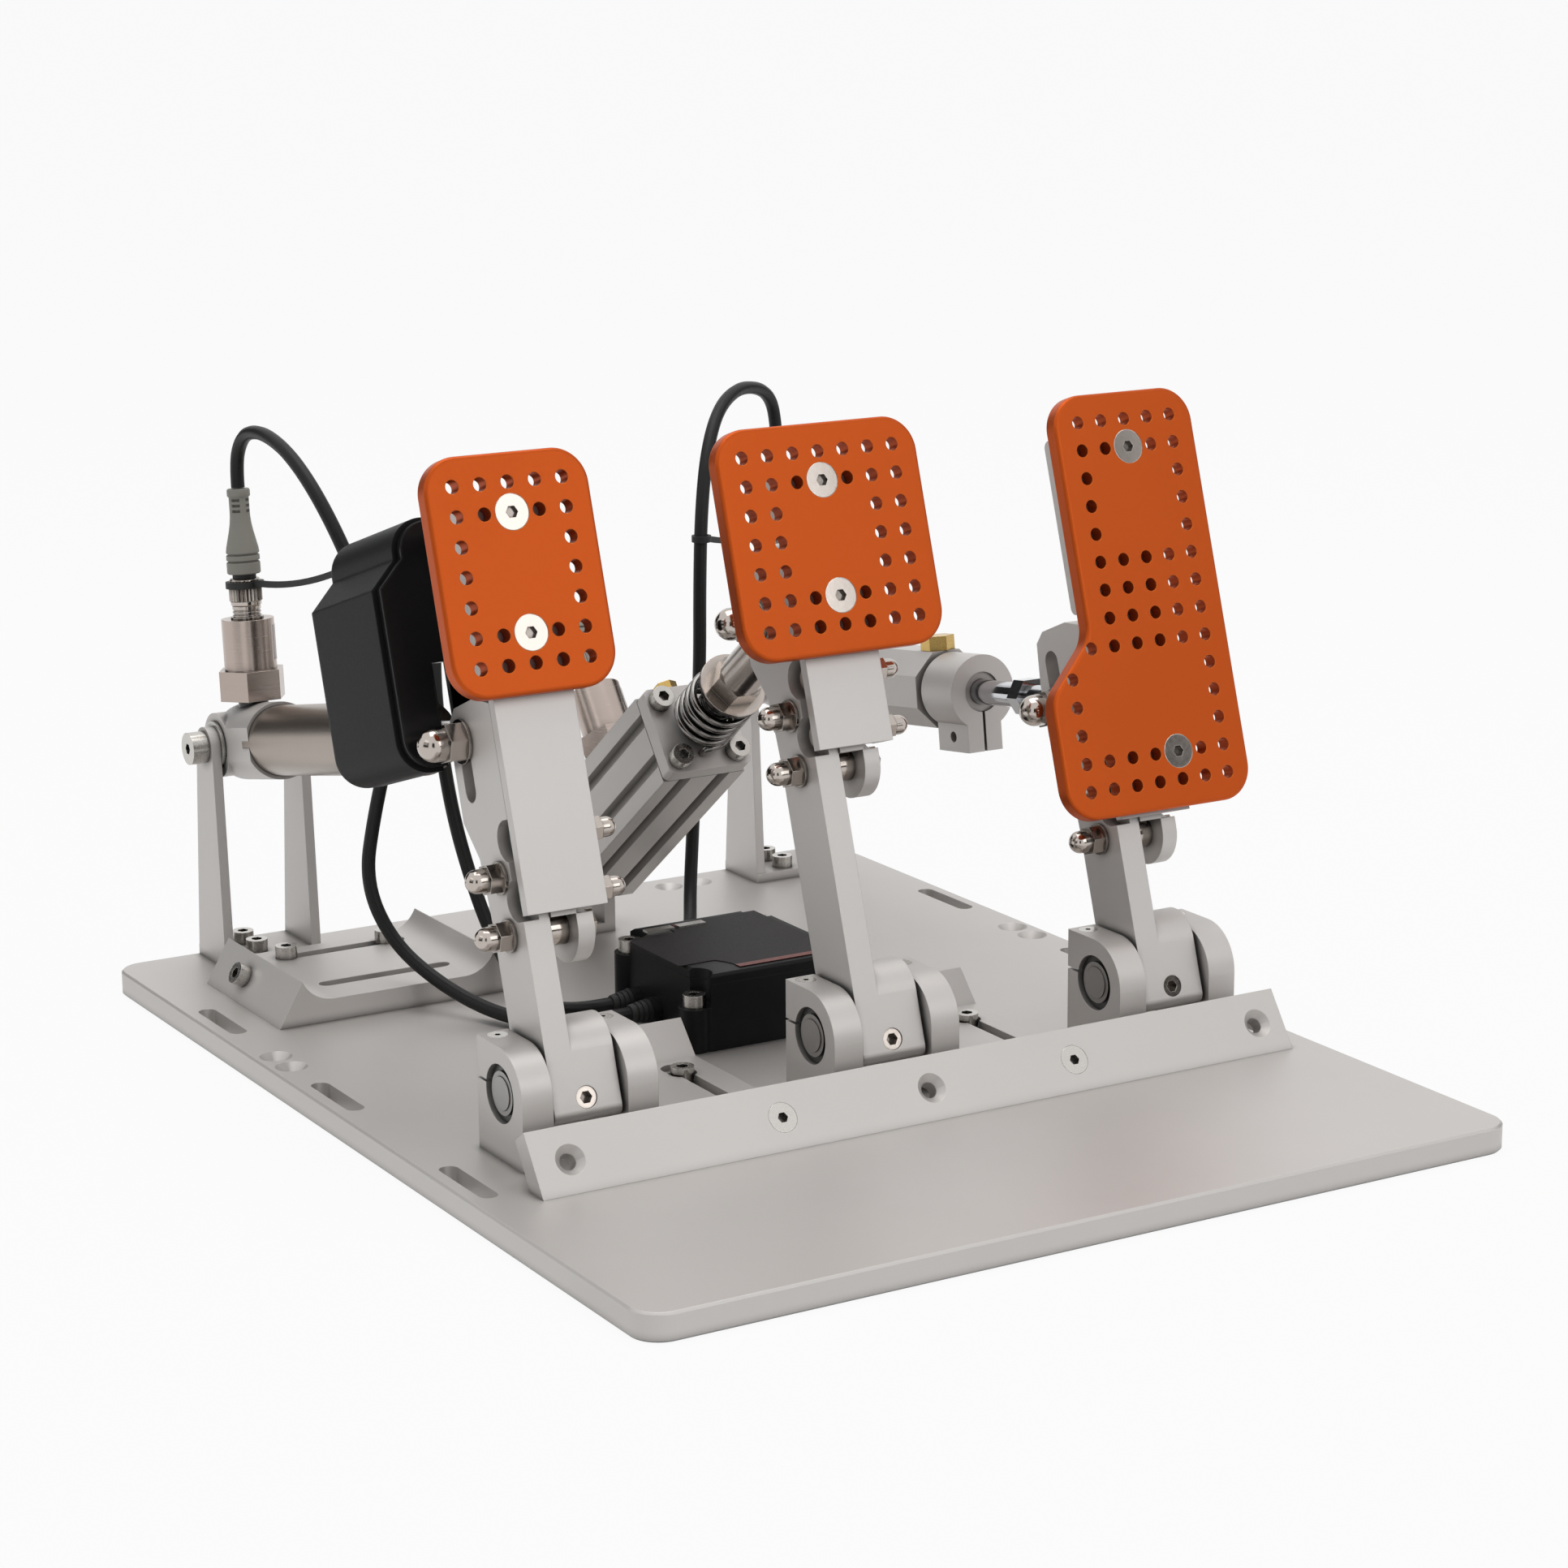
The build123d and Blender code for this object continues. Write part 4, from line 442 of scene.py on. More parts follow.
def finishes():
    """Every finish of the set, made once."""
    made = MADE_FINISHES
    if made:
        return made
    c = colours()
    # Each finish's corner darkening is painted shade, and its pale edges are partly wear and
    # partly a painted highlight
    made["satin"] = finish("satin_anodised_aluminium", c.aluminium, 0.55, 0.46, grain=0.10,
                           grain_scale=2600, mottle=0.025, rounding=0.0004, edge=0.6, painted_shade=0.7)
    made["orange"] = finish("orange_anodised", c.orange, 0.6, 0.42, grain=0.10, grain_scale=2600,
                            mottle=0.08, mottle_scale=9, rounding=0.0005, edge=0.7,
                            edge_colour=tuple(c.edge), specular=0.25, painted_shade=0.5,
                            painted_shade_reach=0.002)
    made["screw"] = finish("bright_screw_steel", c.steel, 1.0, 0.26, grain=0.05, grain_scale=900,
                           rounding=0.00025, edge=0.4, painted_shade=0.9, painted_shade_reach=0.003)
    made["nickel"] = finish("polished_nickel", c.nickel, 1.0, 0.14, grain=0.02, grain_scale=700,
                            rough_spread=0.04, rounding=0.0003, edge=0.3, painted_shade=0.9,
                            painted_shade_reach=0.003)
    # The tube's darker colour is painted shade
    made["brushed"] = finish("brushed_nickel", c.tube, 1.0, 0.32, grain=0.14, grain_scale=400,
                             stretch=(0.15, 9.0, 0.15), turn=(math.radians(-TUBE_LEAN), 0, 0),
                             painted_shade=0.5)
    for name in PEDALS:
        upward = sensor_frame(name).to_3x3() @ Vector((0, 0, 1))
        made[name + "_sensor"] = banded(
            finish(name + "_turned_steel", c.sensor, 1.0, 0.24, grain=0.08, grain_scale=400,
                   stretch=(0.15, 0.15, 9.0), rounding=0.0003, edge=0.4, painted_shade=0.5),
            upward, -upward.dot(Vector(SENSOR_FOOT[name])), FAR_BELOW, NECK_HEIGHT, c.jacket,
            0.0)
    made["bearing"] = finish("dark_bearing_steel", c.dark_steel, 1.0, 0.35, grain=0.05)
    made["shaft"] = finish("turned_shaft_steel", c.shaft, 1.0, 0.36, grain=0.06,
                           grain_scale=500, rounding=0.0003, edge=0.5, painted_shade=0.8)
    made["housing"] = finish("matte_black_plastic", c.housing, 0.0, 0.46, grain=0.14,
                             grain_scale=1800, mottle=0.1, rounding=0.0015, specular=0.09)
    made["lid"] = finish("glossy_black_plastic", c.housing, 0.0, 0.22, grain=0.03,
                         grain_scale=900, mottle=0.1, rounding=0.0012, rough_spread=0.04,
                         specular=0.25)
    made["box"] = finish("black_box_plastic", c.housing, 0.0, 0.36, grain=0.1,
                         grain_scale=1500, mottle=0.1, rounding=0.0006, specular=0.15)
    made["boot"] = finish("grey_boot_rubber", c.boot, 0.0, 0.55, grain=0.08, grain_scale=1500,
                          mottle=0.05, rounding=0.0003, painted_shade=0.6)
    made["jacket"] = finish("black_cable_jacket", c.jacket, 0.0, 0.42, grain=0.05,
                            grain_scale=1200, mottle=0.1, specular=0.25)
    made["brass"] = finish("machined_brass", c.brass, 1.0, 0.25, grain=0.05, rounding=0.0003,
                           edge=0.4, painted_shade=0.6)
    made["spring"] = finish("dark_spring_wire", c.spring, 1.0, 0.2, grain=0.04, painted_shade=0.3,
                            painted_shade_reach=0.006)
    made["rod"] = banded(
        finish("threaded_rod_steel", c.nickel, 1.0, 0.2, grain=0.04, rounding=0.0003, edge=0.3,
               painted_shade=0.6), BRAKE_LINE, BRAKE_OFFSET, *BRAKE_THREAD, c.thread, 1.0,
        sizes().thread_pitch)
    made["chrome"] = finish("chromed_rod", c.chrome, 1.0, 0.12, grain=0.02,
                            rough_spread=0.03, painted_shade=0.5, painted_shade_reach=0.008)
    made["sockets"] = banded(
        finish("connector_metal", c.steel, 1.0, 0.3, grain=0.04), (0, 0, 1), 0.0, FAR_BELOW,
        SOCKET_TOP, c.housing, 0.0)
    made["label"] = finish("bare_pale_label", c.label, 0.0, 0.45, grain=0.03, mottle=0.02)
    made["plaque"] = finish("bare_dark_label", c.plaque, 0.0, 0.5, grain=0.05,
                            mottle=0.15, mottle_scale=60, specular=0.15)
    made["band"] = finish("red_band", c.band, 0.0, 0.4, grain=0.03, mottle=0.1)
    made["card"] = finish("dark_card", CARD_COLOUR, 0.0, 0.9, specular=0.0)
    made["seal"] = finish("black_rubber_seal", c.jacket, 0.0, 0.6, grain=0.05)
    return made


def dress(finish_name, *names):
    """Give CAD nodes one finish."""
    material = finishes()[finish_name]
    for name in names:
        mesh = NODES[name].data
        mesh.materials.clear()
        mesh.materials.append(material)


def new_object(name, mesh, material=None):
    """Link a mesh as a new object at the origin."""
    made = bpy.data.objects.new(name, mesh)
    bpy.context.scene.collection.objects.link(made)
    if material:
        mesh.materials.clear()
        mesh.materials.append(material)
    return made


def sensor_frame(name):
    """Where a sensor stands: its foot and its lean towards the rear."""
    lean = math.radians(SENSOR_LEANS[name])
    return Matrix.Translation(SENSOR_FOOT[name]) @ Matrix.Rotation(-lean, 4, "X")


def geometry_piece(name, tree, values, material):
    """Run a node tree on an empty mesh and return its result as a plain mesh."""
    holder = new_object(name + "_source", bpy.data.meshes.new(name + "_source"))
    modifier = holder.modifiers.new("Build", "NODES")
    modifier.node_group = tree
    given = {**values, "Material": material}
    for item in tree.interface.items_tree:
        if item.item_type == "SOCKET" and item.in_out == "INPUT" and item.name in given:
            modifier[item.identifier] = given[item.name]
    graph = bpy.context.evaluated_depsgraph_get()
    mesh = bpy.data.meshes.new_from_object(holder.evaluated_get(graph))
    bpy.data.objects.remove(holder)
    return mesh


def new_tree(name, inputs):
    """A geometry node tree with named number inputs and a material."""
    tree = bpy.data.node_groups.new(name, "GeometryNodeTree")
    face = tree.interface
    face.new_socket("Geometry", in_out="INPUT", socket_type="NodeSocketGeometry")
    for label, (kind, default) in inputs.items():
        socket = face.new_socket(label, in_out="INPUT", socket_type=kind)
        socket.default_value = default
    face.new_socket("Material", in_out="INPUT", socket_type="NodeSocketMaterial")
    face.new_socket("Geometry", in_out="OUTPUT", socket_type="NodeSocketGeometry")
    start = tree.nodes.new("NodeGroupInput")
    end = tree.nodes.new("NodeGroupOutput")
    return tree, start, end


def close_tree(tree, start, end, geometry):
    """End a tree with real copies and their material."""
    real = tree.nodes.new("GeometryNodeRealizeInstances")
    paint = tree.nodes.new("GeometryNodeSetMaterial")
    tree.links.new(geometry, real.inputs[0])
    tree.links.new(real.outputs[0], paint.inputs["Geometry"])
    tree.links.new(start.outputs["Material"], paint.inputs["Material"])
    tree.links.new(paint.outputs[0], end.inputs[0])


def ridge_tree():
    """Upright ridges evenly spaced round a circle, as on a knurled nut."""
    number = "NodeSocketFloat"
    tree, start, end = new_tree("Ridges", {
        "Count": ("NodeSocketInt", 26), "Radius": (number, 0.006), "Width": (number, 0.0007),
        "Height": (number, 0.008), "Base": (number, 0.0)})
    link = tree.links.new
    ring = node_of(tree, "GeometryNodeMeshCircle")
    link(start.outputs["Count"], ring.inputs["Vertices"])
    link(start.outputs["Radius"], ring.inputs["Radius"])
    bar = node_of(tree, "GeometryNodeMeshCylinder")
    bar.inputs["Vertices"].default_value = 4
    link(start.outputs["Width"], bar.inputs["Radius"])
    link(start.outputs["Height"], bar.inputs["Depth"])
    place = node_of(tree, "GeometryNodeInputPosition")
    turn = node_of(tree, "FunctionNodeAlignRotationToVector", axis="X")
    link(place.outputs[0], turn.inputs["Vector"])
    copies = node_of(tree, "GeometryNodeInstanceOnPoints")
    link(ring.outputs["Mesh"], copies.inputs["Points"])
    link(bar.outputs["Mesh"], copies.inputs["Instance"])
    link(turn.outputs["Rotation"], copies.inputs["Rotation"])
    lift = node_of(tree, "ShaderNodeCombineXYZ")
    link(start.outputs["Base"], lift.inputs["Z"])
    move = node_of(tree, "GeometryNodeTransform")
    link(copies.outputs["Instances"], move.inputs["Geometry"])
    link(lift.outputs[0], move.inputs["Translation"])
    close_tree(tree, start, end, move.outputs["Geometry"])
    return tree


def route_curve(name, points):
    """A smooth curve whose control points are a cable's route."""
    curve = bpy.data.curves.new(name, "CURVE")
    curve.dimensions = "3D"
    spline = curve.splines.new("NURBS")
    spline.points.add(len(points) - 1)
    for point, (x, y, z) in zip(spline.points, points):
        point.co = (x, y, z, 1)
    spline.order_u = 3
    spline.use_endpoint_u = True
    spline.resolution_u = CURVE_STEPS
    holder = bpy.data.objects.new(name, curve)
    bpy.context.scene.collection.objects.link(holder)
    return holder


def curve_mesh(holder):
    """A curve object's evaluated mesh."""
    bpy.context.view_layer.update()
    graph = bpy.context.evaluated_depsgraph_get()
    return bpy.data.meshes.new_from_object(holder.evaluated_get(graph))


def seen_directly(tree):
    """One where the camera, a mirror or glass sees a surface, zero where it only gives light."""
    rays = node_of(tree, "ShaderNodeLightPath")
    total = rays.outputs["Is Camera Ray"]
    for kind in ("Is Glossy Ray", "Is Transmission Ray"):
        plus = node_of(tree, "ShaderNodeMath", operation="ADD", use_clamp=True)
        tree.links.new(total, plus.inputs[0])
        tree.links.new(rays.outputs[kind], plus.inputs[1])
        total = plus.outputs[0]
    return total


def flat_square(name, half):
    """A flat square that faces up."""
    build = bmesh.new()
    bmesh.ops.create_grid(build, x_segments=1, y_segments=1, size=half)
    mesh = bpy.data.meshes.new(name)
    build.to_mesh(mesh)
    build.free()
    return mesh


class PEDALS_OT_stage(bpy.types.Operator):
    """Make the camera, the floor, the lamps and the pale surroundings"""
    bl_idname = "pedals.stage"
    bl_label = "Studio"

    def execute(self, context):
        camera = bpy.data.cameras.new("photo_camera")
        camera.sensor_width = CAMERA_SENSOR
        camera.lens = CAMERA_SENSOR * CAMERA_FOCAL_PIXELS / PHOTO_SIZE
        camera.clip_start = CAMERA_NEAR
        camera.clip_end = CAMERA_FAR
        holder = bpy.data.objects.new("photo_camera", camera)
        context.scene.collection.objects.link(holder)
        sight = Vector((math.sin(CAMERA_YAW) * math.cos(CAMERA_PITCH),
                        math.cos(CAMERA_YAW) * math.cos(CAMERA_PITCH), -math.sin(CAMERA_PITCH)))
        level = Vector((math.cos(CAMERA_YAW), -math.sin(CAMERA_YAW), 0))
        above = level.cross(sight)
        right = math.cos(CAMERA_ROLL) * level + math.sin(CAMERA_ROLL) * above
        up = -math.sin(CAMERA_ROLL) * level + math.cos(CAMERA_ROLL) * above
        turn = Matrix((right, up, -sight)).transposed().to_4x4()
        holder.matrix_world = Matrix.Translation(CAMERA_PLACE) @ turn
        context.scene.camera = holder
        context.scene.view_settings.view_transform = "Standard"
        self.make_floor()
        self.make_lamps(context)
        self.make_cards()
        self.make_world(context)
        return {"FINISHED"}

    def make_floor(self):
        """A pale floor that keeps a faint shadow."""
        mesh = flat_square("floor", FLOOR_HALF)
        mesh.transform(Matrix.Translation((0, 0, -FLOOR_DROP)))
        material = bpy.data.materials.new("pale_floor")
        material.use_nodes = True
        tree = material.node_tree
        tree.nodes.clear()
        output = node_of(tree, "ShaderNodeOutputMaterial")
        matte = node_of(tree, "ShaderNodeBsdfDiffuse")
        matte.inputs["Color"].default_value = (FLOOR_GREY, FLOOR_GREY, FLOOR_GREY, 1)
        glow = node_of(tree, "ShaderNodeEmission")
        share = node_of(tree, "ShaderNodeMath", operation="MULTIPLY")
        share.inputs[1].default_value = FLOOR_GLOW
        mix = node_of(tree, "ShaderNodeMixShader")
        tree.links.new(seen_directly(tree), share.inputs[0])
        tree.links.new(share.outputs[0], mix.inputs["Fac"])
        tree.links.new(matte.outputs[0], mix.inputs[1])
        tree.links.new(glow.outputs[0], mix.inputs[2])
        tree.links.new(mix.outputs[0], output.inputs["Surface"])
        new_object("floor", mesh, material)

    def make_lamps(self, context):
        """Three soft lamps: above, from the front right and from the left."""
        for name, place, size, power in LAMPS:
            lamp = bpy.data.lights.new(name, "AREA")
            lamp.shape = "SQUARE"
            lamp.size = size
            lamp.energy = power
            holder = bpy.data.objects.new(name, lamp)
            context.scene.collection.objects.link(holder)
            aim = Vector(LAMP_AIM) - Vector(place)
            holder.matrix_world = Matrix.Translation(place) @ aim.to_track_quat(
                "-Z", "Y").to_matrix().to_4x4()

    def make_cards(self):
        """Dark cards that only mirrors see, so that polished metal keeps its contrast."""
        for number, (turn, wide) in enumerate(CARDS):
            mesh = flat_square("card", 0.5)
            stand = Matrix.Diagonal((wide, CARD_TALL, 1, 1))
            upright = Matrix.Rotation(math.radians(90), 4, "X")
            place = Matrix.Translation((0, CARD_DISTANCE, CARD_RAISED + CARD_TALL / 2))
            mesh.transform(Matrix.Rotation(math.radians(turn), 4, "Z") @ place @ upright @ stand)
            card = new_object("dark_card_" + str(number), mesh, finishes()["card"])
            for ray in ("camera", "diffuse", "shadow", "transmission", "volume_scatter"):
                setattr(card, "visible_" + ray, False)

    def make_world(self, context):
        """White for the camera, soft grey light for everything else."""
        world = bpy.data.worlds.new("studio")
        context.scene.world = world
        world.use_nodes = True
        tree = world.node_tree
        tree.nodes.clear()
        link = tree.links.new
        output = node_of(tree, "ShaderNodeOutputWorld")
        soft = node_of(tree, "ShaderNodeBackground")
        soft.inputs["Strength"].default_value = WORLD_LIGHT
        white = node_of(tree, "ShaderNodeBackground")
        white.inputs["Color"].default_value = (1, 1, 1, 1)
        place = node_of(tree, "ShaderNodeTexCoord")
        split = node_of(tree, "ShaderNodeSeparateXYZ")
        ramp = node_of(tree, "ShaderNodeValToRGB")
        ramp.color_ramp.elements[0].position = 0.0
        ramp.color_ramp.elements[0].color = (*WORLD_BELOW, 1)
        ramp.color_ramp.elements[1].position = WORLD_WHITE_FROM
        ramp.color_ramp.elements[1].color = (1, 1, 1, 1)
        lift = node_of(tree, "ShaderNodeMapRange")
        lift.inputs["From Min"].default_value = -1.0
        link(place.outputs["Generated"], split.inputs[0])
        link(split.outputs["Z"], lift.inputs["Value"])
        link(lift.outputs["Result"], ramp.inputs["Fac"])
        link(ramp.outputs["Color"], soft.inputs["Color"])
        mix = node_of(tree, "ShaderNodeMixShader")
        link(seen_directly(tree), mix.inputs["Fac"])
        link(soft.outputs[0], mix.inputs[1])
        link(white.outputs[0], mix.inputs[2])
        link(mix.outputs[0], output.inputs["Surface"])


class PEDALS_OT_cables(bpy.types.Operator):
    """Make the three sensor cables on their routes"""
    bl_idname = "pedals.cables"
    bl_label = "Cables"

    def execute(self, context):
        radius = sizes().cable_diameter / 2
        for name in PEDALS:
            route = [(x / PER_METRE, y / PER_METRE + FRONT_EDGE, z / PER_METRE)
                     for x, y, z in CABLE_ROUTES[name]]
            start = boot_tip(name)
            route.insert(0, start)
            holder = route_curve(name + "_route", route)
            line = curve_mesh(holder)
            path = [tuple(vertex.co) for vertex in line.vertices]
            holder.data.bevel_depth = radius
            holder.data.bevel_resolution = BEVEL_STEPS
            holder.data.use_fill_caps = True
            mesh = curve_mesh(holder)
            mesh.shade_smooth()
            bpy.data.objects.remove(holder)
            cable = new_object(name + "_sensor_cable", mesh, finishes()["jacket"])
            if name == "brake":
                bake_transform(cable)
            else:
                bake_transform(cable)
            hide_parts(name + "_cable")
        return {"FINISHED"}


def boot_tip(name):
    """The tip of a sensor's boot, where its cable begins."""
    top = SENSOR_BODY_TOP + SENSOR_NUT_HEIGHT + sizes().boot_height + CABLE_GAP
    return tuple(sensor_frame(name) @ Vector((0, 0, top)))


def bridge(build, low, high):
    """Faces between two closed rings of points."""
    made = []
    for step in range(len(low)):
        after = (step + 1) % len(low)
        made.append(build.faces.new((low[step], low[after], high[after], high[step])))
    return made


def finished_mesh(build, name):
    """A bmesh as a mesh, with its faces outward."""
    bmesh.ops.recalc_face_normals(build, faces=build.faces)
    mesh = bpy.data.meshes.new(name)
    build.to_mesh(mesh)
    build.free()
    return mesh


def ring_mesh(name, rings, shade=None):
    """A closed mesh from rings of points, with each face's material chosen by shade."""
    build = bmesh.new()
    made = [[build.verts.new(point) for point in ring] for ring in rings]
    for level, (low, high) in enumerate(zip(made, made[1:])):
        for step, face in enumerate(bridge(build, low, high)):
            face.smooth = True
            if shade:
                face.material_index = shade(level, step)
    build.faces.new(list(reversed(made[0])))
    build.faces.new(made[-1])
    mesh = finished_mesh(build, name)
    mesh.set_sharp_from_angle(angle=SHARP)
    return mesh


def boot_mesh():
    """A tapered boot with stepped bands, a slotted neck and a lip."""
    levels = [(height, radius, 0) for height, radius in BOOT_PROFILE]
    for low in SLOT_HEIGHTS:
        top = low + SLOT_TALL
        levels += [(low, NECK_RADIUS, 0), (low + SLOT_EDGE, NECK_RADIUS, SLOT_DEPTH),
                   (top, NECK_RADIUS, SLOT_DEPTH), (top + SLOT_EDGE, NECK_RADIUS, 0)]
    levels += [(height, radius, 0) for height, radius in BOOT_LIP]
    quarter = SEGMENTS // 4
    stretch = sizes().boot_height / BOOT_LIP[-1][0]

    def slotted(step):
        return SLOT_STEPS[0] <= step % quarter < SLOT_STEPS[1]

    rings = []
    for height, radius, depth in levels:
        ring = []
        for step in range(SEGMENTS):
            angle = 2 * math.pi * (step + 0.5) / SEGMENTS
            reach = (radius - (depth if slotted(step) else 0)) / PER_METRE
            ring.append((reach * math.cos(angle), reach * math.sin(angle), height * stretch))
        rings.append(ring)

    def shade(level, step):
        deep = levels[level][2] > 0 and levels[level + 1][2] > 0
        return 1 if deep and slotted(step) and slotted(step + 1) else 0

    return ring_mesh("boot", rings, shade)


def turned_mesh(name, profile):
    """A turned piece from heights and radii in millimetres."""
    rings = []
    for height, radius in profile:
        rings.append([(radius / PER_METRE * math.cos(2 * math.pi * step / SEGMENTS),
                       radius / PER_METRE * math.sin(2 * math.pi * step / SEGMENTS),
                       height / PER_METRE) for step in range(SEGMENTS)])
    return ring_mesh(name, rings)


def place_piece(name, mesh, matrix, body, slot, *materials):
    """Put a mesh in place, give it its materials and let it ride on a body."""
    mesh.transform(matrix)
    mesh.materials.clear()
    for material in materials:
        mesh.materials.append(material)
    piece = new_object(name, mesh)
    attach(piece, body)
    return piece


def label_mesh(radius, low, high, first, last):
    """A thin curved label on a round body, between two angles in degrees."""
    build = bmesh.new()
    inner = radius - LABEL_SUNK
    outer = radius + LABEL_PROUD
    columns = []
    for step in range(LABEL_STEPS + 1):
        angle = math.radians(first + (last - first) * step / LABEL_STEPS)
        columns.append([
            build.verts.new((reach * math.cos(angle), reach * math.sin(angle), height))
            for reach, height in ((inner, low), (inner, high), (outer, high), (outer, low))])
    for before, after in zip(columns, columns[1:]):
        bridge(build, before, after)
    build.faces.new(columns[0][::-1])
    build.faces.new(columns[-1])
    mesh = finished_mesh(build, "label")
    mesh.shade_smooth()
    mesh.set_sharp_from_angle(angle=SHARP)
    return mesh


class PEDALS_OT_boots(bpy.types.Operator):
    """Make the knurled nuts, grey boots and bare labels on the three sensors"""
    bl_idname = "pedals.boots"
    bl_label = "Boots and nuts"

    def execute(self, context):
        made = finishes()
        ridges = ridge_tree()
        for name in PEDALS:
            body = name + "_cylinder"
            seat = sensor_frame(name) @ Matrix.Translation((0, 0, SENSOR_BODY_TOP))
            top = seat @ Matrix.Translation((0, 0, SENSOR_NUT_HEIGHT))
            boot = place_piece(name + "_boot", boot_mesh(), top, body, "grey_rubber",
                               made["boot"], made["seal"])
            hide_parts(name + "_plug")
            for piece, profile, slot, look in (
                    ("foot", FOOT_PROFILE, "brushed_nickel", "nickel"),
                    ("nut", NUT_PROFILE, "brushed_nickel", "nickel"),
                    ("seal", SEAL_PROFILE, "cable_black", "seal")):
                place_piece(name + "_plug_" + piece, turned_mesh(piece, profile), seat, body,
                            slot, made[look])
            knurl = geometry_piece(name + "_knurl", ridges, {
                "Count": sizes().knurl_count, "Radius": sizes().knurl_radius - RIDGE_SUNK,
                "Width": RIDGE_WIDE, "Height": RIDGE_TALL, "Base": RIDGE_LOW + RIDGE_TALL / 2},
                made["nickel"])
            place_piece(name + "_plug_knurl", knurl, seat, body, "brushed_nickel",
                        made["nickel"])
            label = label_mesh(SENSOR_RADIUS, LABEL_LOW, LABEL_HIGH, *LABEL_ANGLES)
            place_piece(name + "_sensor_label", label, sensor_frame(name), body,
                        "brushed_nickel", made["label"])
        return {"FINISHED"}


def hoop_mesh(radius):
    """A closed flat band round the Z axis."""
    outer = radius + TIE_THICK
    loop = [(radius, -TIE_WIDE / 2), (outer, -TIE_WIDE / 2), (outer, TIE_WIDE / 2),
            (radius, TIE_WIDE / 2)]
    build = bmesh.new()
    rings = []
    for step in range(SEGMENTS):
        angle = 2 * math.pi * step / SEGMENTS
        rings.append([build.verts.new((reach * math.cos(angle), reach * math.sin(angle), height))
                      for reach, height in loop])
    for before, after in zip(rings, rings[1:] + rings[:1]):
        bridge(build, before, after)
    return finished_mesh(build, "hoop")


def strip_mesh(start, end):
    """A thin strip that sags a little between two points."""
    run = Vector(end) - Vector(start)
    across = run.cross(Vector((0, 0, 1))).normalized() * TIE_THICK / 2
    upward = Vector((0, 0, TIE_WIDE / 2))
    build = bmesh.new()
    rings = []
    for step in range(TIE_STEPS + 1):
        share = step / TIE_STEPS
        middle = Vector(start) + run * share
        middle.z -= TIE_SAG * 4 * share * (1 - share)
        rings.append([build.verts.new(middle + side * across + lift * upward)
                      for side, lift in ((-1, -1), (1, -1), (1, 1), (-1, 1))])
    for before, after in zip(rings, rings[1:]):
        bridge(build, before, after)
    build.faces.new(rings[0][::-1])
    build.faces.new(rings[-1])
    return finished_mesh(build, "strip")


def joined(*meshes):
    """Several meshes as one."""
    build = bmesh.new()
    for part in meshes:
        build.from_mesh(part)
    mesh = bpy.data.meshes.new("joined")
    build.to_mesh(mesh)
    build.free()
    return mesh


class PEDALS_OT_ties(bpy.types.Operator):
    """Make the black ties that hold two of the cables to their sensors"""
    bl_idname = "pedals.ties"
    bl_label = "Cable ties"

    def execute(self, context):
        for name, hold in TIE_HOLDS.items():
            up = sensor_frame(name) @ Matrix.Translation((0, 0, TIE_HEIGHT))
            nut_hoop = hoop_mesh(sizes().knurl_radius + TIE_LOOSE)
            nut_hoop.transform(up)
            cable_hoop = hoop_mesh(sizes().cable_diameter / 2 + TIE_LOOSE)
            cable_hoop.transform(Matrix.Translation(hold))
            centre = up.translation
            toward = (Vector(hold) - centre).normalized()
            start = centre + toward * (sizes().knurl_radius + TIE_THICK / 2)
            end = Vector(hold) - toward * (sizes().cable_diameter / 2 + TIE_THICK / 2)
            tie = joined(nut_hoop, strip_mesh(start, end), cable_hoop)
            place_piece(name + "_cable_tie", tie, Matrix.Identity(4), name + "_cylinder",
                        "cable_black", finishes()["seal"])
        return {"FINISHED"}


class PEDALS_OT_plate(bpy.types.Operator):
    """Finish the base plate, the heel rail, the blocks, feet and brackets on it"""
    bl_idname = "pedals.plate"
    bl_label = "Base plate group"

    def execute(self, context):
        dress("satin", "base_plate", "heel_rail", "bearing_blocks", "side_feet",
              "rear_sub_base", "clutch_rear_bracket", "throttle_rear_bracket",
              "brake_rear_bracket")
        dress("screw", "rail_screws", "clamp_screws", "base_cap_screws", "rear_pivot_bolts")
        dress("bearing", "bearings")
        return {"FINISHED"}


class PEDALS_OT_pedals(bpy.types.Operator):
    """Finish the three pedals"""
    bl_idname = "pedals.pedals"
    bl_label = "Pedals"

    def execute(self, context):
        for name in PEDALS:
            dress("satin", name + "_arm", name + "_cheek", name + "_bracket")
            dress("orange", name + "_face")
            dress("shaft", name + "_shaft")
            dress("nickel", name + "_fasteners")
        dress("housing", "rear_housing", "housing_mounts")
        dress("lid", "rear_housing_lid")
        return {"FINISHED"}


class PEDALS_OT_cylinders(bpy.types.Operator):
    """Finish the three cylinders, their rods and sensors"""
    bl_idname = "pedals.cylinders"
    bl_label = "Cylinders"

    def execute(self, context):
        dress("brushed", "clutch_tube")
        dress("satin", "clutch_head", "throttle_head", "throttle_collar", "throttle_cylinder",
              "brake_cylinder", "brake_front_plate")
        dress("screw", "clutch_rod", "brake_plate_screws")
        dress("chrome", "throttle_rod")
        dress("brass", "throttle_brass", "brake_bleeder")
        dress("rod", "brake_rod")
        for name in PEDALS:
            dress(name + "_sensor", name + "_sensor")
        coil = NODES["brake_spring"]
        spring = place_piece("brake_spring_coil", coil.data.copy(), coil.matrix_world,
                             "brake_cylinder", "spring_steel", finishes()["spring"])
        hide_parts("brake_spring")
        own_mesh(spring)
        return {"FINISHED"}


